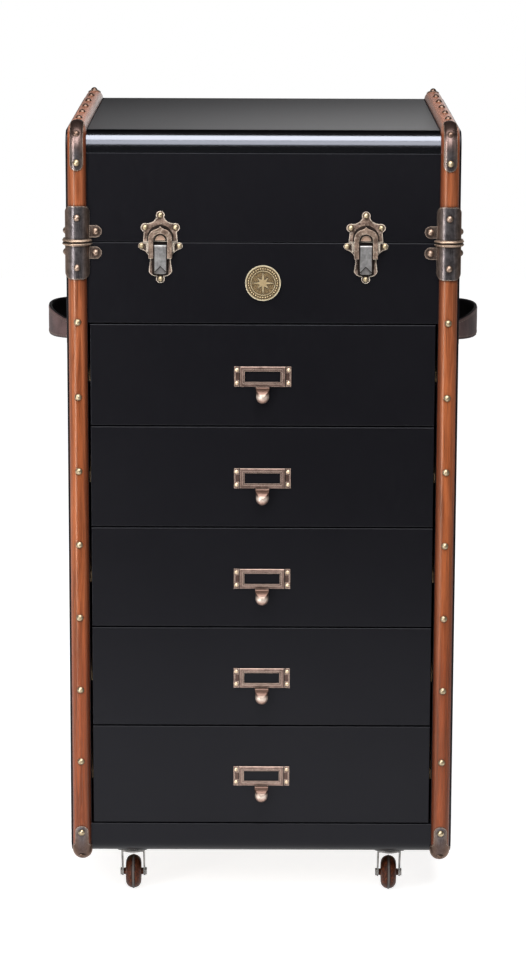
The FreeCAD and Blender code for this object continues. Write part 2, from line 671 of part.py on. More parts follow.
# ---------------------------------------------------------------- sleeves at the seam
def sleeve_outline(z, extra):
    """The sleeve's outer shape in the XY plane: over the rail and round onto the side panel."""
    half = RAIL_WIDTH / 2 + SLEEVE_THICK + SLEEVE_SPREAD + extra
    crown = FACE_Y - RAIL_PROUD - SLEEVE_THICK - extra
    outer_x = max(RAIL_X + half, SIDE_X + SLEEVE_THICK + extra)
    turn_y = FACE_Y + SLEEVE_RETURN
    steps = [((RAIL_X, crown), (outer_x, FACE_Y)), (outer_x, turn_y), (SIDE_X, turn_y), (SIDE_X, FACE_Y)]
    return outline(lambda x, y: V(x, y, z), (RAIL_X - half, FACE_Y), steps)


def make_sleeve(rail, above):
    """A sleeve that ends at the seam in a rolled lip, with a riveted tab on each side."""
    way = 1 if above else -1
    edge = LID_BOTTOM if above else CASE_TOP
    wall = sleeve_outline(edge, 0.0).extrude(V(0, 0, way * SLEEVE_LENGTH))
    half = RAIL_WIDTH / 2 + SLEEVE_THICK + SLEEVE_SPREAD
    shoulder = edge + way * (SLEEVE_LENGTH - SLEEVE_CORNER)
    tip = edge + way * SLEEVE_LENGTH
    wide = half
    slant = SLEEVE_CORNER * math.sqrt(0.5)
    turn = (wide - SLEEVE_CORNER + slant, shoulder + way * slant)
    deep = FACE_Y - 2 * RAIL_PROUD - 2 * SLEEVE_THICK
    arch = outline(lambda x, z: V(RAIL_X + x, deep, z), (-wide, edge),
                   [(wide, edge), (wide, shoulder), (turn, (wide - SLEEVE_CORNER, tip)), (-wide + SLEEVE_CORNER, tip),
                    ((-turn[0], turn[1]), (-wide, shoulder))])
    wall = wall.common(arch.extrude(V(0, FACE_Y + SLEEVE_RETURN + TAB_LENGTH - deep, 0)))
    rings = [(0, LIP_PROUD - LIP_SLOPE), (LIP_SLOPE, LIP_PROUD), (LIP_HEIGHT - LIP_SLOPE, LIP_PROUD),
             (LIP_HEIGHT, LIP_PROUD - LIP_SLOPE)]
    lip = Part.makeLoft([sleeve_outline(edge + way * up, out).OuterWire for up, out in rings], True, True)

    tab_z = SEAM_Z + way * TAB_OFFSET
    end = TAB_HEIGHT / 2
    foot = RAIL_X - RAIL_WIDTH / 2
    tip_x = RAIL_X - half - TAB_LENGTH
    front_tab = outline(lambda x, z: V(x, FACE_Y, z), (foot, tab_z - end),
                        [(foot, tab_z + end), (tip_x + end, tab_z + end),
                         ((tip_x, tab_z), (tip_x + end, tab_z - end))])
    front_tab = front_tab.extrude(V(0, -SLEEVE_THICK, 0))
    body = wall.fuse([lip, front_tab]).cut(rail).cut(block(0, SIDE_X, FACE_Y, BACK_Y, 0, BODY_TOP))
    return body.removeSplitter(), V(tip_x + end, FACE_Y - SLEEVE_THICK, tab_z)


def make_sleeves(cabinet_rail, lid_rail):
    """Returns both right-hand sleeves with the places of their tabs' rivets."""
    upper, upper_tab = make_sleeve(lid_rail, True)
    lower, lower_tab = make_sleeve(cabinet_rail, False)
    save("upper_sleeves", pair([upper]))
    save("lower_sleeves", pair([lower]))
    return (upper, upper_tab), (lower, lower_tab)


# ---------------------------------------------------------------- nails
def make_nails(rails, sleeves):
    cabinet_rail, lid_rail, strap, cap = rails
    (upper, upper_tab), (lower, lower_tab) = sleeves
    forward = V(0, -1, 0)
    outward = V(1, 0, 0)
    crown_y = FACE_Y - RAIL_PROUD

    case_under = cabinet_rail.fuse([cap, mirror_y(cap), lower])
    lid_under = lid_rail.fuse([strap, mirror_y(strap), upper])

    def nail(point, normal, under):
        """A full-size nail, cut to fit what lies under it."""
        return dome(point, normal, NAIL_RADIUS, NAIL_HEIGHT, NAIL_HEIGHT).cut(under)

    def corner_nail(corner_z, turn, under):
        """A nail part of the way round a front corner, on the metal. A positive turn is upward."""
        reach = EDGE_RADIUS + RAIL_PROUD + STRAP_THICK
        direction = V(0, -math.cos(math.radians(turn)), math.sin(math.radians(turn)))
        return nail(V(RAIL_X, CORNER_FRONT, corner_z) + direction * reach, direction, under)

    def side_nail(up):
        """A nail on the part of a sleeve that lies on the side panel."""
        point = V(sleeve_side_x(), FACE_Y + SLEEVE_RETURN / 2, SEAM_Z + up * TAB_OFFSET)
        return dome(point, outward, NAIL_RADIUS, NAIL_HEIGHT)

    cap_nail_z = CORNER_BOTTOM + CAP_LENGTH - CAP_RIVET
    pitch = (SEAM_Z - NAIL_FIRST - cap_nail_z) / NAIL_COUNT
    row = [nail(V(RAIL_X, crown_y, SEAM_Z - NAIL_FIRST - step * pitch), forward, case_under)
           for step in range(NAIL_COUNT)]
    row.append(nail(V(RAIL_X, crown_y - STRAP_THICK, cap_nail_z), forward, case_under))
    row.append(corner_nail(CORNER_BOTTOM, -BOTTOM_CORNER_TURN, case_under))
    row += [mirror_y(head) for head in row]

    sleeve_y = crown_y - SLEEVE_THICK
    row.append(nail(V(RAIL_X, sleeve_y, SEAM_Z - SLEEVE_RIVET), forward, case_under))
    row.append(dome(lower_tab, forward, NAIL_RADIUS, NAIL_HEIGHT))
    row.append(side_nail(-1))
    save("cabinet_nails", pair(row) + handle_rivets() + latch_rivets(False))

    first = FACE_Y + TOP_NAIL_FIRST
    spacing = (BACK_Y - TOP_NAIL_LAST - first) / (TOP_NAIL_COUNT - 1)
    over = BODY_TOP + RAIL_PROUD
    row = [nail(V(RAIL_X, first + step * spacing, over + (STRAP_THICK if step == TOP_NAIL_COUNT - 1 else 0)),
                V(0, 0, 1), lid_under) for step in range(TOP_NAIL_COUNT)]
    metal = [nail(V(RAIL_X, crown_y - STRAP_THICK, CORNER_TOP - STRAP_FRONT_LENGTH + STRAP_RIVET), forward, lid_under),
             corner_nail(CORNER_TOP, TOP_CORNER_TURN, lid_under)]
    row += metal + [mirror_y(head) for head in metal]
    row.append(nail(V(RAIL_X, sleeve_y, SEAM_Z + SLEEVE_RIVET), forward, lid_under))
    row.append(dome(upper_tab, forward, NAIL_RADIUS, NAIL_HEIGHT))
    row.append(side_nail(1))
    save("lid_nails", pair(row) + latch_rivets(True))


def sleeve_side_x():
    """The outer face of a sleeve's return on the side panel."""
    return max(RAIL_X + RAIL_WIDTH / 2 + SLEEVE_THICK + SLEEVE_SPREAD, SIDE_X + SLEEVE_THICK)


# ---------------------------------------------------------------- lid
def make_lid():
    side = side_panel(LID_BOTTOM, BODY_TOP)
    save("lid_sides", pair([side]))
    nosing_bottom = BODY_TOP - NOSING_HEIGHT
    front = block(-INNER_X, INNER_X, FACE_Y, INSIDE_FRONT, LID_BOTTOM, nosing_bottom)
    front = softened(front, PANEL_ROUND, front_edge(LID_BOTTOM))
    save("lid_front", [softened(front, NOSING_EASE, front_edge(nosing_bottom))])
    nosing = nosed_board(FACE_Y, INSIDE_FRONT, nosing_bottom, BODY_TOP, LID_BOTTOM, BODY_TOP, FRONT_THICK)
    save("lid_nosing", [softened(nosing, NOSING_EASE, front_edge(nosing_bottom))])
    back = nosed_board(INSIDE_BACK, BACK_Y, LID_BOTTOM, BODY_TOP, LID_BOTTOM, BODY_TOP, BACK_THICK, back=True)
    save("lid_back", [back])
    nose_front = FACE_Y + max(EDGE_RADIUS, FRONT_THICK)
    nose_back = BACK_Y - max(EDGE_RADIUS, BACK_THICK)
    top = block(-INNER_X, INNER_X, nose_front, nose_back, BODY_TOP - TOP_THICK, BODY_TOP)
    groove_z = BODY_TOP - PANEL_GROOVE
    rail_foot = RAIL_X - RAIL_WIDTH / 2
    groove = block(-INNER_X, INNER_X, nose_front, nose_front + PANEL_GROOVE, groove_z, BODY_TOP)
    line = block(rail_foot - PANEL_GROOVE, rail_foot, nose_front, nose_back, groove_z, BODY_TOP)
    save("lid_top", [top.cut([groove] + pair([line]))])
    under = BODY_TOP - TOP_THICK
    mirror = block(-INNER_X + MIRROR_MARGIN, INNER_X - MIRROR_MARGIN, INSIDE_FRONT + MIRROR_MARGIN,
                   INSIDE_BACK - MIRROR_MARGIN, under - MIRROR_THICK, under)
    save("lid_mirror", [mirror])


# ---------------------------------------------------------------- tray in the well
def tray_pockets():
    """Each pocket of the tray as its low and high corners in X and Y."""
    x0 = -INNER_X + TRAY_CLEARANCE + TRAY_WALL
    y0 = INSIDE_FRONT + TRAY_CLEARANCE + TRAY_WALL
    width = (-2 * x0 - (TRAY_COLUMNS - 1) * TRAY_DIVIDER) / TRAY_COLUMNS
    inside_depth = INSIDE_BACK - TRAY_CLEARANCE - TRAY_WALL - y0
    depth = (inside_depth - (TRAY_ROWS - 1) * TRAY_DIVIDER) / TRAY_ROWS
    pockets = []
    for column in range(TRAY_COLUMNS):
        for row in range(TRAY_ROWS):
            left = x0 + column * (width + TRAY_DIVIDER)
            near = y0 + row * (depth + TRAY_DIVIDER)
            pockets.append((left, left + width, near, near + depth))
    return pockets


def make_tray():
    tray = block(-INNER_X + TRAY_CLEARANCE, INNER_X - TRAY_CLEARANCE, INSIDE_FRONT + TRAY_CLEARANCE,
                 INSIDE_BACK - TRAY_CLEARANCE, WELL_FLOOR_TOP, WELL_FLOOR_TOP + TRAY_HEIGHT)
    low = WELL_FLOOR_TOP + TRAY_FLOOR
    high = WELL_FLOOR_TOP + TRAY_HEIGHT
    tray = tray.cut([block(*pocket, low, high) for pocket in tray_pockets()])
    save("jewelry_tray", [tray])


# ---------------------------------------------------------------- badge
def make_badge():
    """A plain round plate with a raised rim, a border of beads, a thin ring and an eight-pointed star."""
    centre = V(0, FACE_Y, SEAM_Z - BADGE_DROP)
    forward = V(0, -1, 0)
    face = centre + forward * BADGE_THICK
    plate = rod(BADGE_RADIUS, centre, face)
    crest = face + forward * STAR_RELIEF

    def ring(outer, width):
        """A raised ring on the plate."""
        return rod(outer, face, crest).cut(rod(outer - width, face, crest))

    bead_reach = (BADGE_RING + BADGE_RADIUS - BADGE_RIM) / 2
    beads = []
    for step in range(BEAD_COUNT):
        across_x, up_z = around((0, 0), bead_reach, 360 * step / BEAD_COUNT)
        beads.append(Part.makeSphere(BEAD_RADIUS, face + V(across_x, 0, up_z)))
    points = []
    for step in range(2 * STAR_POINTS):
        reach = BADGE_RING - BADGE_RING_WIDTH - STAR_GAP
        reach *= 1.0 if step % 4 == 0 else 0.72 if step % 2 == 0 else 0.3
        turn = math.pi * step / STAR_POINTS
        points.append((reach * math.sin(turn), reach * math.cos(turn)))
    star = outline(lambda x, z: V(x, face.y, centre.z + z), points[0], points[1:])
    star = star.extrude(forward * STAR_RELIEF)
    raised = [ring(BADGE_RADIUS, BADGE_RIM), ring(BADGE_RING, BADGE_RING_WIDTH), star]
    save("badge", [plate.fuse(raised + beads).removeSplitter()])


# ---------------------------------------------------------------- latches
UPPER_LOBE = (21.3, 20.7)    # rivet places on a latch, across and up from the seam
UPPER_TOP_LOBE = (0.0, 38.0)
LOWER_LOBE = (26.5, -5.2)
LOWER_BOTTOM_LOBE = (0.0, -51.6)
LOBE_RADIUS = 6.0           # of the plate round a rivet
UPPER_FOOT = 24.2           # half the upper plate's width at the seam
UPPER_HOLLOW = 3.0          # depth of the hollow between two upper lobes
LOWER_HOLLOW = 4.2
WAIST = (14.6, -28.0)       # the lower plate's narrowest place
BELLY = (16.4, -41.0)       # the lower plate's widest place under the waist
BELLY_BULGE = 2.2


def latch_place(y):
    """Turns latch coordinates, across and up from the seam, into a point on the right."""
    return lambda u, v: V(LATCH_X + u, y, SEAM_Z + v)


def latch_rivets(above):
    """The small rivets of both latches, on the lid's plates or on the case's."""
    places = [UPPER_TOP_LOBE, UPPER_LOBE] if above else [LOWER_BOTTOM_LOBE, LOWER_LOBE]
    place = latch_place(FACE_Y - PLATE_THICK)
    (top_u, top_v), (side_u, side_v) = places
    points = [place(top_u, top_v), place(side_u, side_v), place(-side_u, side_v)]
    return pair([dome(point, V(0, -1, 0), SMALL_RIVET_RADIUS, SMALL_RIVET_HEIGHT) for point in points])


def make_catch_plates():
    """The lid's half of a latch: a lobed plate and the half-round catch under the bail."""
    low = LID_SEAM / 2
    start = (0.0, low)
    lobe_end = around(UPPER_LOBE, LOBE_RADIUS, 95)
    top_start = around(UPPER_TOP_LOBE, LOBE_RADIUS, -30)
    right = [(UPPER_FOOT, low), around(UPPER_LOBE, LOBE_RADIUS, -75), (around(UPPER_LOBE, LOBE_RADIUS, 10), lobe_end),
             (bowed(lobe_end, top_start, UPPER_HOLLOW), top_start),
             (around(UPPER_TOP_LOBE, LOBE_RADIUS, 30), around(UPPER_TOP_LOBE, LOBE_RADIUS, 90))]
    plate = outline(latch_place(FACE_Y), start, mirrored_steps(start, right)[:-1])
    plate = plate.extrude(V(0, -PLATE_THICK, 0))
    front = FACE_Y - PLATE_THICK
    half = KNOB_WIDTH / 2
    foot = low + KNOB_LIFT
    knob = outline(latch_place(front), (-half, foot), [((0, foot + half * KNOB_ARCH), (half, foot))])
    knob_depth = bail_back_y() + PART_GAP - front
    knob = knob.extrude(V(0, knob_depth, 0))
    knob = knob.makeChamfer(KNOB_CHAMFER, edges_where(knob, lambda b: b.YMax < front + knob_depth + 0.01))
    save("latch_catch_plates", pair([plate.fuse(knob).removeSplitter()]))


def bail_back_y():
    """The plane just in front of the lever's pin, where the bail's back lies."""
    return LEVER_PIVOT_Y - LEVER_PIN_RADIUS - PART_GAP


def make_lower_plates():
    """The case's half of a latch: a lobed plate with two ears that hold the lever's pin."""
    low = -LID_SEAM / 2
    start = (0.0, low)
    side_radius = low - LOWER_LOBE[1]
    lobe_end = around(LOWER_LOBE, side_radius, -70)
    bottom_start = around(LOWER_BOTTOM_LOBE, LOBE_RADIUS, 35)
    right = [(LOWER_LOBE[0], low), (around(LOWER_LOBE, side_radius, 10), lobe_end),
             (bowed(lobe_end, WAIST, -LOWER_HOLLOW), WAIST), BELLY,
             (bowed(BELLY, bottom_start, BELLY_BULGE), bottom_start),
             (around(LOWER_BOTTOM_LOBE, LOBE_RADIUS, -30), around(LOWER_BOTTOM_LOBE, LOBE_RADIUS, -90))]
    plate = outline(latch_place(FACE_Y), start, mirrored_steps(start, right)[:-1])
    plate = plate.extrude(V(0, -PLATE_THICK, 0))
    ear_y = LEVER_PIVOT_Y - 2 * LEVER_PIN_RADIUS
    ears = [block(LATCH_X + u, LATCH_X + u + EAR_THICK, ear_y, FACE_Y, LEVER_PIVOT_Z - EAR_DROP, LEVER_PIVOT_Z + EAR_RISE)
            for u in (EAR_HALF_GAP, -EAR_HALF_GAP - EAR_THICK)]
    end = EAR_HALF_GAP + EAR_THICK
    pin = rod(LEVER_PIN_RADIUS, V(LATCH_X - end, LEVER_PIVOT_Y, LEVER_PIVOT_Z), V(LATCH_X + end, LEVER_PIVOT_Y, LEVER_PIVOT_Z))
    plate = plate.fuse(ears).removeSplitter().cut(pin)
    save("latch_lower_plates", pair([plate, pin]))


def make_lever():
    """The latch's lever: a plate from its barrel down to a chevron tip, with the bail's pin."""
    half = LEVER_WIDTH / 2
    back = LEVER_PIVOT_Y + LEVER_THICK / 2
    front = LEVER_PIVOT_Y - LEVER_THICK / 2
    tip = LEVER_PIVOT_Z - LEVER_LENGTH
    slant = LEVER_CORNER * (1 - math.sqrt(0.5))
    steps = [(half, LEVER_PIVOT_Z), (half, tip + LEVER_CORNER), ((half - slant, tip + slant), (half - LEVER_CORNER, tip)),
             (-half + LEVER_CORNER, tip), ((-half + slant, tip + slant), (-half, tip + LEVER_CORNER))]
    blade = outline(lambda x, z: V(x, back, z), (-half, LEVER_PIVOT_Z), steps)
    blade = blade.extrude(V(0, -LEVER_THICK, 0))
    inside = half - CHEVRON_MARGIN
    chevron = outline(lambda x, z: V(x, front, z), (0, tip + CHEVRON_RISE),
                      [(inside, tip + CHEVRON_FOOT), (inside, tip - 1), (-inside, tip - 1), (-inside, tip + CHEVRON_FOOT)])
    blade = blade.cut(chevron.extrude(V(0, CHEVRON_DEPTH, 0)))
    barrel = rod(LEVER_BARREL_RADIUS, V(-half, LEVER_PIVOT_Y, LEVER_PIVOT_Z), V(half, LEVER_PIVOT_Y, LEVER_PIVOT_Z))
    hole = rod(LEVER_PIN_RADIUS + LATCH_FIT, V(-half, LEVER_PIVOT_Y, LEVER_PIVOT_Z), V(half, LEVER_PIVOT_Y, LEVER_PIVOT_Z))
    end = BAIL_WIDTH / 2
    bail_pin = rod(BAIL_PIN_RADIUS, V(-end, LEVER_PIVOT_Y, BAIL_PIVOT_Z), V(end, LEVER_PIVOT_Y, BAIL_PIVOT_Z))
    return blade.fuse([barrel, bail_pin]).cut(hole).removeSplitter()


def make_bail():
    """The arched loop that the lever draws down over the catch."""
    half = BAIL_WIDTH / 2
    window = BAIL_WINDOW / 2
    foot = BAIL_PIVOT_Z - BAIL_EYE_RADIUS
    top = SEAM_Z + BAIL_RISE
    window_top = SEAM_Z + BAIL_WINDOW_RISE
    shoulder = window_top - window
    back = bail_back_y()
    side = (half, shoulder)
    ogee = (OGEE_HALF, top - OGEE_HEIGHT)
    side_via = bowed(side, ogee, -BAIL_SHOULDER)
    ogee_via = bowed(ogee, (0, top), OGEE_HOLLOW)
    loop = outline(lambda x, z: V(x, back, z), (-half, foot),
                   [(-half, shoulder), ((-side_via[0], side_via[1]), (-OGEE_HALF, ogee[1])),
                    ((-ogee_via[0], ogee_via[1]), (0, top)), (ogee_via, ogee), (side_via, side), (half, foot),
                    (window, foot), (window, shoulder), ((0, window_top), (-window, shoulder)), (-window, foot)])
    loop = loop.extrude(V(0, -BAIL_THICK, 0))
    front = back - BAIL_THICK
    loop = softened(loop, BAIL_EDGE, lambda b: b.YMax < front + 0.01 and b.ZMax > foot + 1)
    pieces = []
    holes = []
    for x0, x1 in ((-half, -window), (window, half)):
        pieces.append(rod(BAIL_EYE_RADIUS, V(x0, LEVER_PIVOT_Y, BAIL_PIVOT_Z), V(x1, LEVER_PIVOT_Y, BAIL_PIVOT_Z)))
        pieces.append(block(x0, x1, back - BAIL_THICK / 2, LEVER_PIVOT_Y, foot, BAIL_PIVOT_Z + BAIL_EYE_RADIUS))
        holes.append(rod(BAIL_PIN_RADIUS + LATCH_FIT, V(x0, LEVER_PIVOT_Y, BAIL_PIVOT_Z), V(x1, LEVER_PIVOT_Y, BAIL_PIVOT_Z)))
    return loop.fuse(pieces).cut(holes).removeSplitter()


def make_latches():
    make_catch_plates()
    make_lower_plates()
    lever = make_lever()
    bail = make_bail()
    for side, x in (("left", -LATCH_X), ("right", LATCH_X)):
        save(f"latch_lever_{side}", [moved(lever, x=x)])
        save(f"latch_bail_{side}", [moved(bail, x=x)])


# ---------------------------------------------------------------- side handles
def handle_places():
    """The handle's middle: its Y and its height."""
    return FACE_Y + HANDLE_Y, SEAM_Z - HANDLE_BELOW_SEAM


def make_handles():
    """A leather loop on each side, with its ends flat on the panel under metal bridges."""
    mid_y, mid_z = handle_places()
    inner = SIDE_X + SOFT_GAP
    outer = inner + STRAP_LEATHER
    half = HANDLE_SPAN / 2
    far = half + HANDLE_TAB
    crest = SIDE_X + HANDLE_REACH
    corner = 3.0
    band = outline(lambda x, y: V(x, mid_y + y, mid_z - HANDLE_MIDDLE_HEIGHT), (inner, -far),
                   [(outer, -far), (outer, -half - corner), ((crest, 0), (outer, half + corner)), (outer, far),
                    (inner, far), (inner, half), ((crest - STRAP_LEATHER, 0), (inner, -half))])
    band = band.extrude(V(0, 0, 2 * HANDLE_MIDDLE_HEIGHT))
    wide = HANDLE_MIDDLE_HEIGHT / 2
    narrow = HANDLE_END_HEIGHT / 2
    shape = outline(lambda y, z: V(SIDE_X, mid_y + y, mid_z + z), (-far, -narrow),
                    [(-half, -narrow), ((0, -wide), (half, -narrow)), (far, -narrow), (far, narrow),
                     (half, narrow), ((0, wide), (-half, narrow)), (-far, narrow)])
    strap = band.common(shape.extrude(V(2 * HANDLE_REACH, 0, 0)))
    save("handle_right", [strap])
    save("handle_left", [mirror_x(strap)])

    rise = SOFT_GAP + STRAP_LEATHER + SOFT_GAP
    inside = narrow + SOFT_GAP
    outside = inside + BRACKET_THICK
    foot = outside + BRACKET_FLANGE
    start_y = mid_y + far - BRACKET_LENGTH - SOFT_GAP
    steps = [(SIDE_X, foot), (SIDE_X + BRACKET_THICK, foot), (SIDE_X + BRACKET_THICK, outside),
             (SIDE_X + rise + BRACKET_THICK, outside), (SIDE_X + rise + BRACKET_THICK, -outside),
             (SIDE_X + BRACKET_THICK, -outside), (SIDE_X + BRACKET_THICK, -foot), (SIDE_X, -foot),
             (SIDE_X, -inside), (SIDE_X + rise, -inside), (SIDE_X + rise, inside)]
    bridge = outline(lambda x, z: V(x, start_y, mid_z + z), (SIDE_X, inside), steps)
    bridge = bridge.extrude(V(0, BRACKET_LENGTH, 0))
    other = bridge.mirror(V(0, mid_y, 0), V(0, 1, 0))
    save("handle_brackets", pair([bridge, other]))


def handle_rivets():
    """Two rivets in each bracket."""
    mid_y, mid_z = handle_places()
    reach = HANDLE_END_HEIGHT / 2 + SOFT_GAP + BRACKET_THICK + BRACKET_FLANGE / 2
    offset = HANDLE_SPAN / 2 + HANDLE_TAB - SOFT_GAP - BRACKET_LENGTH / 2
    heads = [dome(V(SIDE_X + BRACKET_THICK, mid_y + y, mid_z + z), V(1, 0, 0), SMALL_RIVET_RADIUS, SMALL_RIVET_HEIGHT)
             for y in (-offset, offset) for z in (-reach, reach)]
    return pair(heads)


# ---------------------------------------------------------------- lid hinges
def make_hinges():
    """Two butt hinges on the back, each with a pin through five knuckles."""
    step = HINGE_LENGTH / KNUCKLE_COUNT
    left = HINGE_X - HINGE_LENGTH / 2
    leaf_edge = KNUCKLE_RADIUS * 0.6
    axis = V(0, HINGE_AXIS_Y, SEAM_Z)

    def bar(radius, index, trim):
        return rod(radius, axis + V(left + index * step + trim, 0, 0), axis + V(left + (index + 1) * step - trim, 0, 0))

    hole = rod(HINGE_PIN_RADIUS + HINGE_FIT, axis + V(left, 0, 0), axis + V(left + HINGE_LENGTH, 0, 0))
    pin = rod(HINGE_PIN_RADIUS, axis + V(left, 0, 0), axis + V(left + HINGE_LENGTH, 0, 0))
    leaves = []
    for own, z0, z1 in ((0, SEAM_Z - HINGE_LEAF_HEIGHT, SEAM_Z - leaf_edge), (1, SEAM_Z + leaf_edge, SEAM_Z + HINGE_LEAF_HEIGHT)):
        leaf = block(left, left + HINGE_LENGTH, BACK_Y, BACK_Y + HINGE_LEAF_THICK, z0, z1)
        knuckles = [bar(KNUCKLE_RADIUS, index, KNUCKLE_GAP / 2) for index in range(own, KNUCKLE_COUNT, 2)]
        room = [bar(KNUCKLE_RADIUS + KNUCKLE_GAP, index, -KNUCKLE_GAP / 2) for index in range(1 - own, KNUCKLE_COUNT, 2)]
        bore = hole if own else pin
        leaves.append(leaf.cut(room).fuse(knuckles).cut(bore).removeSplitter())
    save("hinge_lower_leaves", pair([leaves[0], pin]))
    save("hinge_upper_leaves", pair([leaves[1]]))


# ---------------------------------------------------------------- casters
def caster_places():
    """The name and swivel axis of each caster."""
    front = FACE_Y + CASTER_FRONT
    back = BACK_Y - CASTER_BACK
    return {"front_left": (-CASTER_X, front), "front_right": (CASTER_X, front),
            "rear_left": (-CASTER_X, back), "rear_right": (CASTER_X, back)}


def caster_top():
    """The fixed plate, its ball race and the kingpin, at the origin in X and Y."""
    half = CASTER_PLATE / 2
    race_top = BODY_BOTTOM - CASTER_PLATE_THICK
    plate = block(-half, half, -half, half, race_top, BODY_BOTTOM)
    plate = softened(plate, CASTER_PLATE / 9, lambda b: b.ZLength > CASTER_PLATE_THICK - 0.01)
    race = rod(RACE_RADIUS, V(0, 0, RACE_BOTTOM), V(0, 0, race_top))
    head_top = CROWN_BOTTOM - SWIVEL_GAP
    pin = rod(KINGPIN_RADIUS, V(0, 0, head_top), V(0, 0, race_top))
    head = rod(KINGPIN_HEAD_RADIUS, V(0, 0, head_top - KINGPIN_HEAD), V(0, 0, head_top))
    return plate.fuse([race, pin, head]).removeSplitter()


def caster_fork():
    """The fork and, as a second solid, the axle bolt."""
    outer = FORK_SPAN / 2
    inner = outer - FORK_ARM
    crown_top = CROWN_BOTTOM + CROWN_THICK
    crown = rod(outer, V(0, 0, CROWN_BOTTOM), V(0, 0, crown_top))
    crown = crown.cut(rod(KINGPIN_RADIUS + AXLE_FIT, V(0, 0, CROWN_BOTTOM), V(0, 0, crown_top)))
    half = FORK_ARM_TOP / 2
    end = FORK_ARM_END
    arm = outline(lambda y, z: V(0, y, z), (-half, crown_top),
                  [(-half, CROWN_BOTTOM), (TRAIL - end, AXLE_Z), ((TRAIL, AXLE_Z - end), (TRAIL + end, AXLE_Z)),
                   (half, CROWN_BOTTOM), (half, crown_top)])
    arms = [across(arm, inner, outer), across(arm, -outer, -inner)]
    sides = block(-outer, outer, -half, half, CROWN_BOTTOM, crown_top)
    sides = sides.cut(rod(KINGPIN_RADIUS + AXLE_FIT, V(0, 0, CROWN_BOTTOM), V(0, 0, crown_top)))
    reach = outer + AXLE_HEAD
    axle = rod(AXLE_RADIUS, V(-outer, TRAIL, AXLE_Z), V(outer, TRAIL, AXLE_Z))
    heads = [rod(AXLE_HEAD_RADIUS, V(x, TRAIL, AXLE_Z), V(x + AXLE_HEAD, TRAIL, AXLE_Z)) for x in (-reach, outer)]
    bolt = axle.fuse(heads).removeSplitter()
    fork = crown.fuse(arms + [sides]).removeSplitter().cut(axle)
    return [fork, bolt]


def caster_wheel():
    """A wheel with a rounded tread, a thin rib round its middle and a bored hub."""
    half = WHEEL_WIDTH / 2
    axis = V(1, 0, 0)
    tread = Part.makeCylinder(WHEEL_RADIUS, WHEEL_WIDTH, V(-half, TRAIL, AXLE_Z), axis)
    tread = softened(tread, min(TREAD_ROUND, half * 0.95), lambda b: b.ZLength > WHEEL_RADIUS)
    rib = Part.makeCylinder(WHEEL_RADIUS + WHEEL_RIB, WHEEL_RIB_WIDTH, V(-WHEEL_RIB_WIDTH / 2, TRAIL, AXLE_Z), axis)
    hub_half = FORK_SPAN / 2 - FORK_ARM - HUB_GAP
    hub = Part.makeCylinder(HUB_RADIUS, 2 * hub_half, V(-hub_half, TRAIL, AXLE_Z), axis)
    bore = Part.makeCylinder(AXLE_RADIUS + AXLE_FIT, 2 * hub_half, V(-hub_half, TRAIL, AXLE_Z), axis)
    return tread.fuse([rib, hub]).cut(bore).removeSplitter()


def make_casters():
    top = caster_top()
    fork = caster_fork()
    wheel = caster_wheel()
    save("caster_plates", [moved(top, x, y) for x, y in caster_places().values()])
    for name, (x, y) in caster_places().items():
        save(f"caster_fork_{name}", [moved(piece, x, y) for piece in fork])
        save(f"caster_wheel_{name}", [moved(wheel, x, y)])


def main():
    os.makedirs("parts", exist_ok=True)
    make_case()
    make_runners()
    for index in range(DRAWER_COUNT):
        make_drawer(index)
    rails = make_rails()
    sleeves = make_sleeves(rails[0], rails[1])
    make_nails(rails, sleeves)
    make_lid()
    make_tray()
    make_badge()
    make_latches()
    make_handles()
    make_hinges()
    make_casters()


main()
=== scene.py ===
"""The looks of a trunk-style jewellery armoire: materials, leather handles, linings, lights and camera.

Metres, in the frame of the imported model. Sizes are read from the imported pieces.
"""
import json
import math

import bpy
from mathutils import Matrix, Vector


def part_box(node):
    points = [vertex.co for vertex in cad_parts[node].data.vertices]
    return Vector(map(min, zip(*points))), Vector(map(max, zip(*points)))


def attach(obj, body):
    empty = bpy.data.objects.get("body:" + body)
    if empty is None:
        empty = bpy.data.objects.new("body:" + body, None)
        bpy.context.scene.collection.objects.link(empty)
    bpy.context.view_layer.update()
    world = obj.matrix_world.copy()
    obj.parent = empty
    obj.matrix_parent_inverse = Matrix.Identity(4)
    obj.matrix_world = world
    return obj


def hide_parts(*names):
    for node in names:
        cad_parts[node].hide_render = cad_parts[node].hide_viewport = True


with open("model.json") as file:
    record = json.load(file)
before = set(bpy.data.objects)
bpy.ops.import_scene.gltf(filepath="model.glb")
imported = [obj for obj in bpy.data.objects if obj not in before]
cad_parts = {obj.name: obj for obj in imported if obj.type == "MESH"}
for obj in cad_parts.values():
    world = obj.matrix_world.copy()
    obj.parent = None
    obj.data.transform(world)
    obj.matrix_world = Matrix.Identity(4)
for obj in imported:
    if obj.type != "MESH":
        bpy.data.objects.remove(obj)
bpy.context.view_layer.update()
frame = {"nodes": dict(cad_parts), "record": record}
nodes = frame["nodes"]

MM = 0.001


def middle_x(box):
    """The middle of a piece's box across the case."""
    low, high = box
    return (low.x + high.x) / 2


FACE_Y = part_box("well_front")[0].y
TOP_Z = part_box("lid_top")[1].z
BOTTOM_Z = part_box("bottom_board")[0].z
SEAM_Z = (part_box("well_front")[1].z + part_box("lid_front")[0].z) / 2
SIDE_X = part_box("cabinet_sides")[1].x
RAIL_X = middle_x(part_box("cabinet_rail_right"))
LEVER_X = middle_x(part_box("latch_lever_right"))
CASTER_X = middle_x(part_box("caster_wheel_front_right"))
DRAWERS = 5
LEVER_HALF = 9 * MM          # half the width of a latch's lever
CHEVRON_RISE = 11 * MM       # from the lever's tip to the point of its chevron


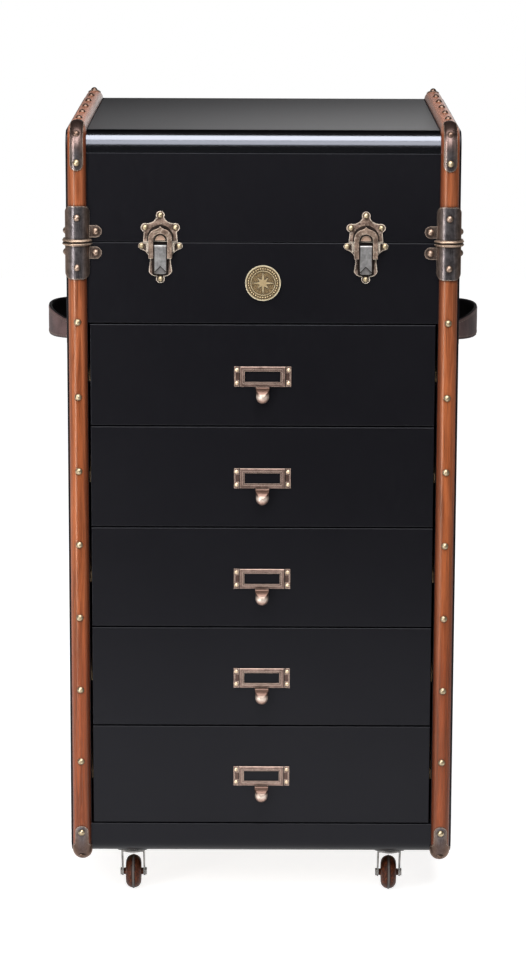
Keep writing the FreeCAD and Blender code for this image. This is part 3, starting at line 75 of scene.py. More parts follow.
# ---------------------------------------------------------------- node graphs
class Graph:
    """A node tree being built, with short names for the nodes that it uses."""

    def __init__(self, tree, place="Object"):
        self.tree = tree
        self.tree.nodes.clear()
        self.place = self.add("ShaderNodeTexCoord").outputs[place]

    def add(self, kind, **settings):
        """A new node with these settings."""
        node = self.tree.nodes.new(kind)
        for key, value in settings.items():
            setattr(node, key, value)
        return node

    def put(self, socket, value):
        """Links a socket, or sets its number or colour."""
        if isinstance(value, bpy.types.NodeSocket):
            self.tree.links.new(value, socket)
        elif isinstance(value, (tuple, list)) and len(value) == 3 and socket.type == "RGBA":
            socket.default_value = (*value, 1.0)
        else:
            socket.default_value = value

    def axes(self):
        """The X, Y and Z of the place on the object."""
        node = self.add("ShaderNodeSeparateXYZ")
        self.put(node.inputs[0], self.place)
        return node.outputs

    def math(self, operation, a, b=0.0):
        """One operation on numbers."""
        node = self.add("ShaderNodeMath", operation=operation)
        self.put(node.inputs[0], a)
        self.put(node.inputs[1], b)
        return node.outputs[0]

    def times(self, first, *others):
        """The product of numbers."""
        for other in others:
            first = self.math("MULTIPLY", first, other)
        return first

    def minus(self, a, b):
        """a less b."""
        return self.math("SUBTRACT", a, b)

    def opposite(self, share):
        """1 where the share is 0, and 0 where it is 1."""
        return self.minus(1.0, share)

    def length(self, a, b):
        """How long a line is that goes a across and b up."""
        return self.math("SQRT", self.math("ADD", self.times(a, a), self.times(b, b)))

    def away(self, value, centre):
        """How far a number is from a centre, either way."""
        return self.math("ABSOLUTE", self.minus(value, centre))

    def beside(self, x, centre):
        """How far across a place is from the centre on its own side, right or left."""
        return self.away(self.math("ABSOLUTE", x), centre)

    def ranged(self, value, low, high, first, last):
        """The first number below low, the last one above high, smooth between."""
        node = self.add("ShaderNodeMapRange", interpolation_type="SMOOTHSTEP")
        self.put(node.inputs["Value"], value)
        for key, number in (("From Min", low), ("From Max", high), ("To Min", first), ("To Max", last)):
            node.inputs[key].default_value = number
        return node.outputs["Result"]

    def step(self, value, low, high):
        """0 below low, 1 above high, smooth between."""
        return self.ranged(value, low, high, 0.0, 1.0)

    def fall(self, value, low, high):
        """1 below low, 0 above high, smooth between."""
        return self.ranged(value, low, high, 1.0, 0.0)

    def seen(self):
        """1 for what the camera, a reflection or a view through glass meets first, else 0."""
        rays = self.add("ShaderNodeLightPath").outputs
        total = rays["Is Camera Ray"]
        for kind in ("Is Glossy Ray", "Is Transmission Ray"):
            total = self.math("MAXIMUM", total, rays[kind])
        return total


class Shade(Graph):
    """A material being built on one principled shader."""

    def __init__(self, name):
        self.mat = bpy.data.materials.new(name)
        self.mat.use_nodes = True
        super().__init__(self.mat.node_tree)
        out = self.add("ShaderNodeOutputMaterial")
        self.bsdf = self.add("ShaderNodeBsdfPrincipled")
        self.tree.links.new(self.bsdf.outputs[0], out.inputs["Surface"])
        self.normal = None

    def set(self, **values):
        """Sets sockets of the shader. Underscores stand for spaces."""
        for key, value in values.items():
            self.put(self.bsdf.inputs[key.replace("_", " ")], value)

    def noise(self, scale, stretch=(1, 1, 1), detail=4.0, rough=0.55, warp=0.0):
        """Clouds from 0 to 1. A small stretch along one axis draws them out along it."""
        node = self.add("ShaderNodeTexNoise")
        spread = self.add("ShaderNodeMapping")
        self.put(spread.inputs["Vector"], self.place)
        spread.inputs["Scale"].default_value = stretch
        self.put(node.inputs["Vector"], spread.outputs[0])
        for key, number in (("Scale", scale), ("Detail", detail), ("Roughness", rough), ("Distortion", warp)):
            node.inputs[key].default_value = number
        return node.outputs["Fac"]

    def pebbles(self, scale):
        """Soft cells: 0 in the middle of each, more toward its sides."""
        node = self.add("ShaderNodeTexVoronoi", feature="SMOOTH_F1")
        self.put(node.inputs["Vector"], self.place)
        node.inputs["Scale"].default_value = scale
        return node.outputs["Distance"]

    def ramp(self, value, *stops):
        """Colours by value. A stop is (position, colour)."""
        node = self.add("ShaderNodeValToRGB")
        self.put(node.inputs[0], value)
        ramp = node.color_ramp
        while len(ramp.elements) < len(stops):
            ramp.elements.new(0.5)
        for element, (at, colour) in zip(ramp.elements, stops):
            element.position = at
            element.color = (*colour, 1.0)
        return node.outputs["Color"]

    def mix(self, share, a, b, blend="MIX"):
        """Colour a, with a share of colour b."""
        node = self.add("ShaderNodeMix", data_type="RGBA", blend_type=blend)
        self.put(node.inputs[0], share)
        self.put(node.inputs[6], a)
        self.put(node.inputs[7], b)
        return node.outputs[2]

    def washed(self, colour, mask, share, other):
        """The colour, with a share of another where the mask is 1."""
        return self.mix(self.times(mask, share), colour, other)

    def between(self, share, a, b):
        """Number a, with a share of number b."""
        node = self.add("ShaderNodeMix", data_type="FLOAT")
        self.put(node.inputs[0], share)
        self.put(node.inputs[2], a)
        self.put(node.inputs[3], b)
        return node.outputs[0]

    def bump(self, height, depth, strength=1.0):
        """Adds a relief of the given depth in metres."""
        node = self.add("ShaderNodeBump")
        self.put(node.inputs["Height"], height)
        node.inputs["Distance"].default_value = depth
        node.inputs["Strength"].default_value = strength
        if self.normal is not None:
            self.put(node.inputs["Normal"], self.normal)
        self.normal = node.outputs[0]
        self.put(self.bsdf.inputs["Normal"], self.normal)

    def edges(self, radius, low=0.02, high=0.25):
        """Near 1 along sharp edges, 0 on flat ground."""
        bevel = self.add("ShaderNodeBevel", samples=4)
        bevel.inputs["Radius"].default_value = radius
        dot = self.add("ShaderNodeVectorMath", operation="DOT_PRODUCT")
        self.put(dot.inputs[0], bevel.outputs[0])
        self.put(dot.inputs[1], self.add("ShaderNodeNewGeometry").outputs["Normal"])
        return self.step(self.opposite(dot.outputs["Value"]), low, high)

    def shaded_in_corners(self, colour, reach, share, shade_colour, soft=0.30):
        """The colour with painted shade, found by ambient occlusion, in its corners and round the pieces that
        stand on it.
        """
        node = self.add("ShaderNodeAmbientOcclusion", samples=6)
        node.inputs["Distance"].default_value = reach
        closed = self.step(self.opposite(node.outputs["AO"]), 0.04, soft)
        return self.washed(colour, closed, share, shade_colour)


def toned(colour, factor, lift=0.0):
    """The colour times a factor, with a lift, and no channel above 1."""
    return tuple(min(1.0, channel * factor + lift) for channel in colour)


# ---------------------------------------------------------------- materials, where s is the Shade being built
def lacquer(name, rough, specular, index=1.5, tint=(0.90, 0.91, 1.0), ground=1.0, marked=0.07, dish=0.0):
    """Black lacquer with a faint orange peel and fine handling marks.

    Ground scales its colour, and marked is how much rougher the marks are. A dish lowers the middle of
    the lid's top by that many metres, in its reflections only.
    """
    s = Shade(name)
    deep, pale = (0.0034, 0.0032, 0.0044), (0.0052, 0.0050, 0.0064)
    colour = s.ramp(s.noise(3.0, detail=3.0), (0.3, toned(deep, ground)), (0.7, toned(pale, ground)))
    worn = s.times(s.edges(0.9 * MM), s.noise(60.0))
    colour = s.washed(colour, worn, 0.3, (0.02, 0.019, 0.021))
    marks = s.noise(900.0, (1, 1, 0.08), detail=2.0)
    s.set(Base_Color=colour, Roughness=s.between(s.step(marks, 0.4, 0.75), rough, rough + marked),
          Specular_IOR_Level=specular, Specular_Tint=tint, IOR=index)
    if dish:
        low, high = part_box("lid_top")
        half_depth = (high.y - low.y) / 2
        off = s.minus(s.axes()["Y"], (low.y + high.y) / 2)
        s.bump(s.times(s.times(off, off), dish / half_depth ** 2), 1.0)
    s.bump(s.noise(420.0, detail=2.0), 0.01 * MM, 0.35)
    return s.mat


def wood_rail():
    """Oiled reddish-brown hardwood, its grain along each rail."""
    s = Shade("rail_wood")
    x, _, z = s.axes()
    bend, level = 6 * MM, 14 * MM       # where the grain has turned the corner, and where it starts to
    lies = s.math("MAXIMUM", s.step(z, TOP_Z - level, TOP_Z - bend),
                  s.fall(z, BOTTOM_Z + bend, BOTTOM_Z + level))
    drawn_out = 0.045                   # how much the grain is stretched along a rail

    def grain(scale, detail, warp, squeeze=1.0):
        """Noise along Z on the upright stretches and along Y on those that lie."""
        upright = s.noise(scale, (1.0, 1.0, drawn_out * squeeze), detail, 0.6, warp)
        lying = s.noise(scale, (1.0, drawn_out * squeeze, 1.0), detail, 0.6, warp)
        return s.between(lies, upright, lying)

    figure = grain(95.0, 6.0, 1.6)
    streak = grain(420.0, 3.0, 0.4, 0.5)
    pores = grain(1300.0, 2.0, 0.0, 0.6)
    colour = s.ramp(figure, (0.30, (0.14, 0.033, 0.012)), (0.46, (0.29, 0.076, 0.0275)),
                    (0.62, (0.42, 0.118, 0.045)), (0.76, (0.19, 0.044, 0.0155)))

    # Painted shade by height: the wood is darker and redder near the floor, and a little darker on the lid.
    # Its stops are shares of this height.
    shade_height = 1.15
    height_shade = s.ramp(s.math("DIVIDE", z, shade_height),
                   (0.30, (0.68, 0.52, 0.41)), (0.40, (0.89, 0.85, 0.74)), (0.50, (0.96, 0.96, 0.88)),
                   (0.64, (0.91, 0.93, 0.87)), (0.76, (0.83, 0.91, 0.98)), (0.92, (0.80, 0.87, 0.93)),
                   (0.98, (1.0, 1.0, 1.0)))
    colour = s.mix(1.0, colour, height_shade, "MULTIPLY")
    colour = s.washed(colour, s.step(streak, 0.48, 0.72), 0.6, (0.11, 0.030, 0.011))
    colour = s.washed(colour, s.step(pores, 0.58, 0.75), 0.5, (0.07, 0.02, 0.008))
    # Painted shade: darker wood on the inner side of each rail.
    inward = s.minus(RAIL_X, s.math("ABSOLUTE", x))
    colour = s.washed(colour, s.step(inward, 6 * MM, 12 * MM), 0.80, (0.085, 0.020, 0.008))
    # Painted sheen: paler wood along the lid's top.
    above = s.step(z, TOP_Z - 6 * MM, TOP_Z + 2 * MM)
    colour = s.washed(colour, above, 0.30, (0.46, 0.27, 0.20))
    # Painted shade round the nails and beside the sleeves and straps.
    colour = s.shaded_in_corners(colour, 5 * MM, 0.85, (0.030, 0.010, 0.006))
    s.set(Base_Color=colour, Roughness=s.between(s.step(streak, 0.3, 0.8), 0.24, 0.33),
          Specular_IOR_Level=0.45, Specular_Tint=(1.0, 0.82, 0.66))
    s.bump(s.fall(pores, 0.5, 0.8), 0.06 * MM, 0.5)
    return s.mat


def latch_marks(s, colour, rub):
    """A latch's marks: painted shadow, black round the bail and the lever; a coppery arch on the catch; and a
    dark band over the lever's pin. Returns the colour, and where the edges are still rubbed bright.
    """
    near_black, rim, copper = (0.012, 0.008, 0.007), (0.014, 0.009, 0.007), (0.60, 0.40, 0.29)
    x, y, z = s.axes()
    off = s.beside(x, LEVER_X)
    up = s.minus(z, SEAM_Z)
    proud = s.step(s.minus(FACE_Y, y), 3.0 * MM, 3.4 * MM)

    # The painted shadow is narrow beside the lever, wide beside the bail, and round over the bail's arch.
    wide = s.step(up, -15 * MM, -14 * MM)
    half = s.between(wide, LEVER_HALF + 2.4 * MM, 18.5 * MM)
    over = s.math("MAXIMUM", s.minus(up, 6 * MM), 0.0)
    painted_shadow = s.step(s.minus(half, s.length(off, over)), -0.3 * MM, 0.3 * MM)
    colour = s.washed(colour, s.times(painted_shadow, s.opposite(proud)), 0.92, near_black)

    across = s.fall(off, 9.4 * MM, 9.6 * MM)
    catch = s.times(across, s.fall(s.away(up, 7 * MM), 6.6 * MM, 6.8 * MM), proud)
    rise = s.minus(up, 3 * MM)
    arch = s.times(s.fall(s.length(off, rise), 7.0 * MM, 7.7 * MM), s.step(rise, -0.2 * MM, 0.4 * MM))
    colour = s.mix(catch, colour, s.mix(arch, rim, copper))

    band = s.times(s.fall(off, 9.4 * MM, 9.8 * MM), s.fall(s.away(up, -3.6 * MM), 4.0 * MM, 4.4 * MM))
    colour = s.washed(colour, band, 0.95, near_black)
    kept = s.opposite(s.times(catch, s.between(arch, 0.85, 0.5)))
    return colour, s.times(rub, s.times(kept, s.opposite(band)))


def bronze(name, dark, body, rough, wear, reach, latch=False):
    """Plated metal that has darkened. Wear is how wide its rubbed edges are, and reach is how far its
    painted shade comes out of the corners. A latch's plates also have marks of their own, and painted
    shadow round the bail and the lever.
    """
    s = Shade(name)
    bright = (0.95, 0.82, 0.68)
    cloud = s.noise(110.0, detail=6.0, rough=0.65)
    speck = s.noise(900.0, detail=3.0)
    blotch = s.noise(300.0, detail=3.0)
    colour = s.mix(s.step(cloud, 0.32, 0.68), dark, body)
    colour = s.washed(colour, s.step(speck, 0.55, 0.8), 0.35, dark)
    colour = s.washed(colour, s.step(blotch, 0.50, 0.66), 0.55, dark)
    colour = s.washed(colour, s.fall(blotch, 0.34, 0.44), 0.35, bright)
    rub = s.times(s.edges(wear, 0.01, 0.16), s.between(s.noise(160.0), 0.6, 1.15))
    if latch:
        colour, rub = latch_marks(s, colour, rub)
    # Painted shade in the corners and round the pieces that stand on the plate.
    colour = s.shaded_in_corners(colour, reach, 0.9, (0.016, 0.010, 0.008), 0.26)
    colour = s.mix(rub, colour, bright)
    brushed = s.noise(700.0, (1, 1, 0.05), detail=2.0)
    s.set(Base_Color=colour, Metallic=s.between(rub, 0.6, 0.1),
          Roughness=s.between(s.step(brushed, 0.3, 0.75), rough, rough + 0.14))
    s.bump(speck, 0.03 * MM, 0.4)
    s.bump(cloud, 0.08 * MM, 0.35)
    return s.mat


def strap_bronze():
    """Dark plated straps and sleeves: brushed gunmetal down the middle, bronze along both edges, redder and
    paler round the top corners, partly their copper and partly a painted highlight, and darker over them
    and on the caps.
    """
    s = Shade("aged_bronze")
    x, _, z = s.axes()
    from_seam = s.away(z, SEAM_Z)
    past_sleeves = s.step(from_seam, 56 * MM, 60 * MM)
    narrower = 4.2 * MM                 # how much narrower the straps and caps are on each side
    off = s.math("ADD", s.beside(x, RAIL_X), s.times(past_sleeves, narrower))
    cloud = s.noise(110.0, detail=6.0, rough=0.65)
    speck = s.noise(900.0, detail=3.0)
    brushed = s.noise(900.0, (1, 1, 0.04), detail=3.0)
    cloudy = s.step(cloud, 0.3, 0.7)
    gunmetal = s.mix(cloudy, (0.070, 0.062, 0.065), (0.165, 0.150, 0.155))
    side = s.mix(cloudy, (0.10, 0.072, 0.060), (0.23, 0.168, 0.138))
    colour = s.mix(s.step(off, 5 * MM, 15 * MM), gunmetal, side)
    colour = s.washed(colour, s.step(brushed, 0.5, 0.8), 0.4, (0.024, 0.018, 0.018))
    # Partly the copper's own colour and partly a painted highlight: redder and paler round the top corners.
    corner = s.step(z, TOP_Z - 34 * MM, TOP_Z - 12 * MM)
    colour = s.washed(colour, corner, 0.75, (0.250, 0.165, 0.145))
    crown = s.step(z, TOP_Z - 11 * MM, TOP_Z - 2 * MM)
    colour = s.washed(colour, crown, 0.80, (0.040, 0.023, 0.018))
    low_end = s.fall(z, BOTTOM_Z + 10 * MM, BOTTOM_Z + 40 * MM)
    colour = s.washed(colour, low_end, 0.75, (0.072, 0.041, 0.031))
    lip = s.fall(from_seam, 4.2 * MM, 4.8 * MM)
    colour = s.mix(lip, colour, (0.36, 0.26, 0.19))
    # Painted shade in the corners and round the nails.
    colour = s.shaded_in_corners(colour, 4 * MM, 0.85, (0.018, 0.011, 0.010))
    rub = s.times(s.edges(2.6 * MM), s.between(s.noise(160.0), 0.5, 1.1), s.between(low_end, 1.0, 0.55))
    colour = s.mix(rub, colour, (0.58, 0.45, 0.36))
    s.set(Base_Color=colour, Metallic=s.between(rub, 0.8, 0.3), Specular_Tint=(0.80, 0.64, 0.56),
          Roughness=s.between(s.step(brushed, 0.3, 0.75), 0.26, 0.38))
    s.bump(speck, 0.03 * MM, 0.4)
    s.bump(cloud, 0.03 * MM, 0.15)
    return s.mat


def nail_metal():
    """Aged brass heads. Those on the sleeves, round the top corners and under the bottom caps are redder."""
    s = Shade("nail_brass")
    x, _, z = s.axes()
    tarnish = s.noise(240.0, detail=4.0)
    brass = s.ramp(tarnish, (0.3, (0.26, 0.195, 0.115)), (0.7, (0.56, 0.455, 0.30)))
    copper = s.ramp(tarnish, (0.3, (0.16, 0.105, 0.078)), (0.7, (0.47, 0.345, 0.265)))
    under = s.fall(z, BOTTOM_Z + 4 * MM, BOTTOM_Z + 12 * MM)
    corner = s.step(z, TOP_Z - 30 * MM, TOP_Z - 12 * MM)
    at_rail = s.step(s.math("ABSOLUTE", x), RAIL_X - 50 * MM, RAIL_X - 45 * MM)
    sleeve = s.times(s.fall(s.away(z, SEAM_Z), 55 * MM, 60 * MM), at_rail)
    red = s.math("MAXIMUM", s.math("MAXIMUM", corner, under), sleeve)
    colour = s.mix(red, brass, copper)
    colour = s.washed(colour, under, 0.75, (0.050, 0.022, 0.014))
    crown = s.step(z, TOP_Z - 30 * MM, TOP_Z - 24 * MM)
    colour = s.washed(colour, crown, 0.62, (0.095, 0.042, 0.028))
    colour = s.mix(s.step(s.noise(1500.0), 0.62, 0.8), colour, (0.10, 0.06, 0.035))
    # Painted shade: a dark ring round the foot of each head.
    colour = s.shaded_in_corners(colour, 3 * MM, 0.9, (0.020, 0.012, 0.008))
    s.set(Base_Color=colour, Metallic=0.85, Roughness=s.between(tarnish, 0.30, 0.44))
    s.bump(s.noise(800.0), 0.03 * MM, 0.35)
    return s.mat


def pull_metal():
    """Coppery bronze: a brushed frame, painted shade in its sunk places, bright rivets, and a cup with
    painted light and shade.
    """
    s = Shade("pull_bronze")
    x, y, z = s.axes()
    proud = s.minus(FACE_Y, y)
    cloud = s.noise(130.0, detail=5.0)
    speck = s.noise(1100.0, detail=3.0)
    colour = s.ramp(cloud, (0.3, (0.12, 0.074, 0.060)), (0.7, (0.31, 0.205, 0.170)))
    colour = s.washed(colour, s.step(speck, 0.55, 0.75), 0.5, (0.06, 0.035, 0.028))
    rub = s.times(s.edges(1.8 * MM), s.between(s.noise(220.0), 0.5, 1.1))
    # Painted shade in the corners and round the raised pieces.
    colour = s.shaded_in_corners(colour, 4 * MM, 0.8, (0.022, 0.012, 0.010))
    colour = s.mix(rub, colour, (0.78, 0.60, 0.49))
    collar = s.step(proud, 3.4 * MM, 4.0 * MM)
    colour = s.washed(colour, collar, 0.85, (0.11, 0.062, 0.046))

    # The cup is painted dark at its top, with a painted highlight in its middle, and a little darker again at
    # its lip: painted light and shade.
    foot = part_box("drawer_5_pull")[0].z
    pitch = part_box("drawer_4_pull")[0].z - foot
    up = s.math("FLOORED_MODULO", s.minus(z, foot), pitch)
    cup = s.step(proud, 6.5 * MM, 7.5 * MM)
    cup_painted_light = s.ramp(s.step(up, 0.0, 20 * MM),
                        (0.15, (0.38, 0.245, 0.195)), (0.48, (0.74, 0.62, 0.53)),
                        (0.66, (0.60, 0.47, 0.39)), (0.86, (0.12, 0.066, 0.048)))
    colour = s.mix(cup, colour, cup_painted_light)

    # Painted shade in the sunk places: near black in the groove beside the frame, dark red-brown in the ears'
    # pockets.
    sunk = s.fall(proud, 0.9 * MM, 1.2 * MM)
    ear = s.step(s.math("ABSOLUTE", x), 33.0 * MM, 33.2 * MM)
    groove_shade, pocket_shade = (0.008, 0.005, 0.004), (0.095, 0.054, 0.043)
    colour = s.washed(colour, sunk, 0.9, s.mix(ear, groove_shade, pocket_shade))
    rivet = s.times(ear, s.step(proud, 1.65 * MM, 1.8 * MM))
    colour = s.mix(rivet, colour, (0.72, 0.56, 0.38))
    brushed = s.noise(800.0, (0.05, 1, 1), detail=2.0)
    s.set(Base_Color=colour, Metallic=s.between(rub, 0.6, 0.2),
          Roughness=s.between(s.step(brushed, 0.3, 0.75), 0.30, 0.44))
    s.bump(speck, 0.03 * MM, 0.5)
    return s.mat


def badge_metal():
    """Antique brass with a bright rim and relief on a dark stippled ground."""
    s = Shade("badge_brass")
    x, y, z = s.axes()
    raised = s.step(s.minus(FACE_Y, y), 2.1 * MM, 2.6 * MM)
    stipple = s.noise(1400.0, detail=2.0)
    cloud = s.noise(120.0, detail=5.0)
    ground = s.mix(s.step(stipple, 0.42, 0.62), (0.050, 0.033, 0.015), (0.36, 0.245, 0.114))
    face = s.ramp(cloud, (0.3, (0.43, 0.310, 0.160)), (0.7, (0.68, 0.530, 0.305)))
    colour = s.mix(raised, ground, face)
    # Painted shade round the relief and in its corners.
    colour = s.shaded_in_corners(colour, 2 * MM, 0.8, (0.022, 0.014, 0.007))
    low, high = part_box("badge")
    radius = (high.x - low.x) / 2
    out = s.length(x, s.minus(z, (low.z + high.z) / 2))
    rim = s.step(out, radius - 1.3 * MM, radius - 0.9 * MM)
    colour = s.mix(s.math("MAXIMUM", rim, s.edges(0.5 * MM)), colour, (0.80, 0.70, 0.50))
    s.set(Base_Color=colour, Metallic=0.55, Roughness=s.between(raised, 0.5, 0.34))
    s.bump(s.times(stipple, s.opposite(raised)), 0.25 * MM, 0.7)
    return s.mat


def steel(name, dark, bright, rough, along, metal=0.8):
    """Silvery plate with fine brushing and rubbed edges."""
    s = Shade(name)
    brushed = s.noise(900.0, along, detail=3.0)
    cloud = s.noise(60.0, detail=4.0)
    colour = s.mix(s.step(cloud, 0.3, 0.7), dark, bright)
    colour = s.washed(colour, s.edges(0.8 * MM), 0.8, (0.72, 0.70, 0.67))
    s.set(Base_Color=colour, Metallic=metal,
          Roughness=s.between(s.step(brushed, 0.3, 0.8), rough, rough + 0.15))
    s.bump(brushed, 0.02 * MM, 0.4)
    return s.mat


def lever_metal():
    """The latch levers: worn silver plate, dark along both edges, with painted shade round the sunk chevron.
    """
    s = Shade("lever_steel")
    x, _, z = s.axes()
    off = s.beside(x, LEVER_X)
    up = s.minus(z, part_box("latch_lever_right")[0].z)
    cloud = s.noise(160.0, detail=5.0)
    brushed = s.noise(1100.0, (1, 1, 0.05), detail=3.0)
    colour = s.ramp(cloud, (0.3, (0.18, 0.175, 0.175)), (0.7, (0.40, 0.39, 0.385)))
    colour = s.washed(colour, s.step(brushed, 0.5, 0.8), 0.4, (0.13, 0.115, 0.105))
    colour = s.washed(colour, s.edges(1.2 * MM), 0.6, (0.70, 0.65, 0.59))
    side = s.step(off, LEVER_HALF - 1.2 * MM, LEVER_HALF - 0.6 * MM)
    colour = s.mix(side, colour, (0.045, 0.028, 0.022))
    # Painted shade of the sunk chevron: darker between it and the lever's tip, with a dark line along it.
    slope = s.minus(s.minus(CHEVRON_RISE, off), up)
    colour = s.washed(colour, s.step(slope, 0.0, 0.6 * MM), 0.45, (0.12, 0.105, 0.10))
    line = s.fall(s.math("ABSOLUTE", slope), 0.4 * MM, 1.0 * MM)
    colour = s.mix(line, colour, (0.02, 0.015, 0.013))
    # Painted shade in the corners.
    colour = s.shaded_in_corners(colour, 3 * MM, 0.6, (0.03, 0.022, 0.018))
    s.set(Base_Color=colour, Metallic=0.6, Roughness=s.between(s.step(brushed, 0.3, 0.8), 0.32, 0.46))
    s.bump(brushed, 0.03 * MM, 0.4)
    return s.mat


def wheel_material():
    """Brown wheels with a streaked tread, and a grey rib between two grooves round the middle."""
    s = Shade("wheel_rubber")
    x = s.axes()["X"]
    streak = s.noise(260.0, (4.0, 1, 1), detail=5.0, warp=0.8)
    colour = s.ramp(streak, (0.3, (0.016, 0.004, 0.002)), (0.52, (0.070, 0.017, 0.006)),
                    (0.72, (0.21, 0.056, 0.018)))
    off = s.beside(x, CASTER_X)
    colour = s.mix(s.fall(off, 1.3 * MM, 1.8 * MM), colour, (0.13, 0.115, 0.108))
    groove = s.times(s.step(off, 1.2 * MM, 1.6 * MM), s.fall(off, 1.8 * MM, 2.6 * MM))
    colour = s.mix(groove, colour, (0.012, 0.008, 0.007))
    s.set(Base_Color=colour, Roughness=s.between(streak, 0.36, 0.55), Specular_IOR_Level=0.2)
    s.bump(streak, 0.2 * MM, 0.4)
    return s.mat


def leather(name, low, high, rough, sheen=0.0):
    """Harness leather: pebble grain, fine creases and rubbed high spots."""
    s = Shade(name)
    pebble = s.pebbles(520.0)
    crease = s.noise(170.0, (1, 0.35, 1), detail=6.0, rough=0.65, warp=0.7)
    cloud = s.noise(26.0, detail=4.0)
    colour = s.mix(s.step(cloud, 0.3, 0.7), low, high)
    colour = s.washed(colour, s.step(crease, 0.6, 0.75), 0.55, toned(low, 0.35))
    rub = s.times(s.edges(1.4 * MM), s.noise(300.0))
    colour = s.mix(rub, colour, toned(high, 3.2, 0.03))
    s.set(Base_Color=colour, Roughness=s.between(s.step(pebble, 0.1, 0.6), rough, rough + 0.15),
          Specular_IOR_Level=0.3, Sheen_Weight=sheen)
    s.bump(pebble, 0.14 * MM, 0.7)
    s.bump(crease, 0.3 * MM, 0.6)
    return s.mat


def plain_wood(name, dark, light):
    """Sealed pale wood with its grain along the depth."""
    s = Shade(name)
    figure = s.noise(55.0, (1, 0.05, 1), detail=6.0, rough=0.6, warp=1.2)
    pores = s.noise(900.0, (1, 0.03, 1), detail=2.0)
    colour = s.ramp(figure, (0.3, dark), (0.65, light))
    colour = s.washed(colour, s.step(pores, 0.55, 0.75), 0.4, toned(dark, 0.55))
    s.set(Base_Color=colour, Roughness=s.between(figure, 0.42, 0.56))
    s.bump(pores, 0.05 * MM, 0.4)
    return s.mat


def velvet(name, deep, pile):
    """Short-pile velvet with brushed patches."""
    s = Shade(name)
    nap = s.noise(14.0, detail=5.0, warp=0.6)
    fibre = s.noise(2600.0, detail=2.0)
    colour = s.mix(s.step(nap, 0.35, 0.65), deep, pile)
    colour = s.washed(colour, fibre, 0.35, toned(deep, 0.4))
    s.set(Base_Color=colour, Roughness=0.9, Specular_IOR_Level=0.2, Sheen_Weight=0.7, Sheen_Roughness=0.35,
          Sheen_Tint=toned(pile, 2.5, 0.1))
    s.bump(fibre, 0.2 * MM, 0.6)
    return s.mat


def mirror_glass():
    """Silvered glass with a few faint wipe marks."""
    s = Shade("mirror_glass")
    wipe = s.noise(9.0, (1, 3.0, 1), detail=5.0, warp=0.8)
    s.set(Base_Color=s.mix(wipe, (0.86, 0.88, 0.88), (0.92, 0.93, 0.93)), Metallic=1.0,
          Roughness=s.between(s.step(wipe, 0.55, 0.8), 0.02, 0.07))
    return s.mat


def thread():
    """Waxed thread."""
    s = Shade("waxed_thread")
    twist = s.noise(2200.0, (1, 0.5, 1), detail=2.0)
    s.set(Base_Color=s.ramp(twist, (0.3, (0.10, 0.075, 0.06)), (0.7, (0.30, 0.24, 0.19))), Roughness=0.6)
    s.bump(twist, 0.1 * MM, 0.6)
    return s.mat


LOOKS = {
    "black_lacquer": lacquer("black_lacquer", 0.32, 0.19),
    "polished_lacquer": lacquer("polished_lacquer", 0.17, 0.85, index=1.7, tint=(0.84, 0.87, 1.0), ground=0.2,
                                marked=0.015),
    "rail_wood": wood_rail(),
    "inner_wood": plain_wood("inner_wood", (0.36, 0.22, 0.11), (0.56, 0.39, 0.22)),
    "aged_bronze": strap_bronze(),
    "nail_brass": nail_metal(),
    "badge_brass": badge_metal(),
    "copper_bronze": bronze("copper_bronze", (0.14, 0.092, 0.069), (0.46, 0.330, 0.252), rough=0.28,
                            wear=1.2 * MM, reach=2 * MM),
    "worn_steel": lever_metal(),
    "tray_velvet": velvet("tray_velvet", (0.085, 0.008, 0.016), (0.21, 0.025, 0.045)),
    "mirror_glass": mirror_glass(),
    "caster_nickel": steel("caster_nickel", (0.075, 0.072, 0.07), (0.25, 0.24, 0.23), 0.26, (1, 1, 0.1)),
    "wheel_rubber": wheel_material(),
    "handle_leather": leather("handle_leather", (0.052, 0.027, 0.027), (0.130, 0.076, 0.073), 0.55, 0.05),
}
PULL_LOOK = pull_metal()
TOP_LOOK = lacquer("top_lacquer", 0.28, 0.56, tint=(0.94, 0.84, 1.0), dish=4.5 * MM)
LATCH_LOOK = bronze("latch_bronze", (0.085, 0.052, 0.039), (0.48, 0.335, 0.262), rough=0.30, wear=2.8 * MM,
                    reach=6 * MM, latch=True)
# Painted shade: the caster plates, in shadow under the case, get a near-black copy of the steel.
RACE_LOOK = steel("caster_race", (0.012, 0.012, 0.013), (0.035, 0.035, 0.036), 0.5, (1, 1, 1), metal=0.3)
EDGE_LOOK = leather("handle_edge_leather", (0.006, 0.005, 0.006), (0.014, 0.011, 0.012), 0.38)
THREAD_LOOK = thread()

OWN_LOOKS = {
    "latch_catch_plates": LATCH_LOOK,
    "latch_lower_plates": LATCH_LOOK,
    "caster_plates": RACE_LOOK,
    "lid_top": TOP_LOOK,
}
for number in range(1, DRAWERS + 1):
    OWN_LOOKS[f"drawer_{number}_pull"] = PULL_LOOK

for row in frame["record"]["subparts"]:
    node = nodes[row["node"]]
    node.data.materials.clear()
    node.data.materials.append(OWN_LOOKS.get(row["node"], LOOKS[row["material_slot"]]))


# ---------------------------------------------------------------- meshes
def mesh_piece(name, verts, faces, looks, body, indices=()):
    """A new smooth piece that rides on a body. Indices say which look each face has."""
    mesh = bpy.data.meshes.new(name)
    mesh.from_pydata([tuple(spot) for spot in verts], [], faces)
    for look in looks:
        mesh.materials.append(look)
    for polygon, index in zip(mesh.polygons, indices):
        polygon.material_index = index
    for polygon in mesh.polygons:
        polygon.use_smooth = True
    mesh.validate()
    mesh.update()
    piece = bpy.data.objects.new(name, mesh)
    bpy.context.scene.collection.objects.link(piece)
    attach(piece, body)
    return piece


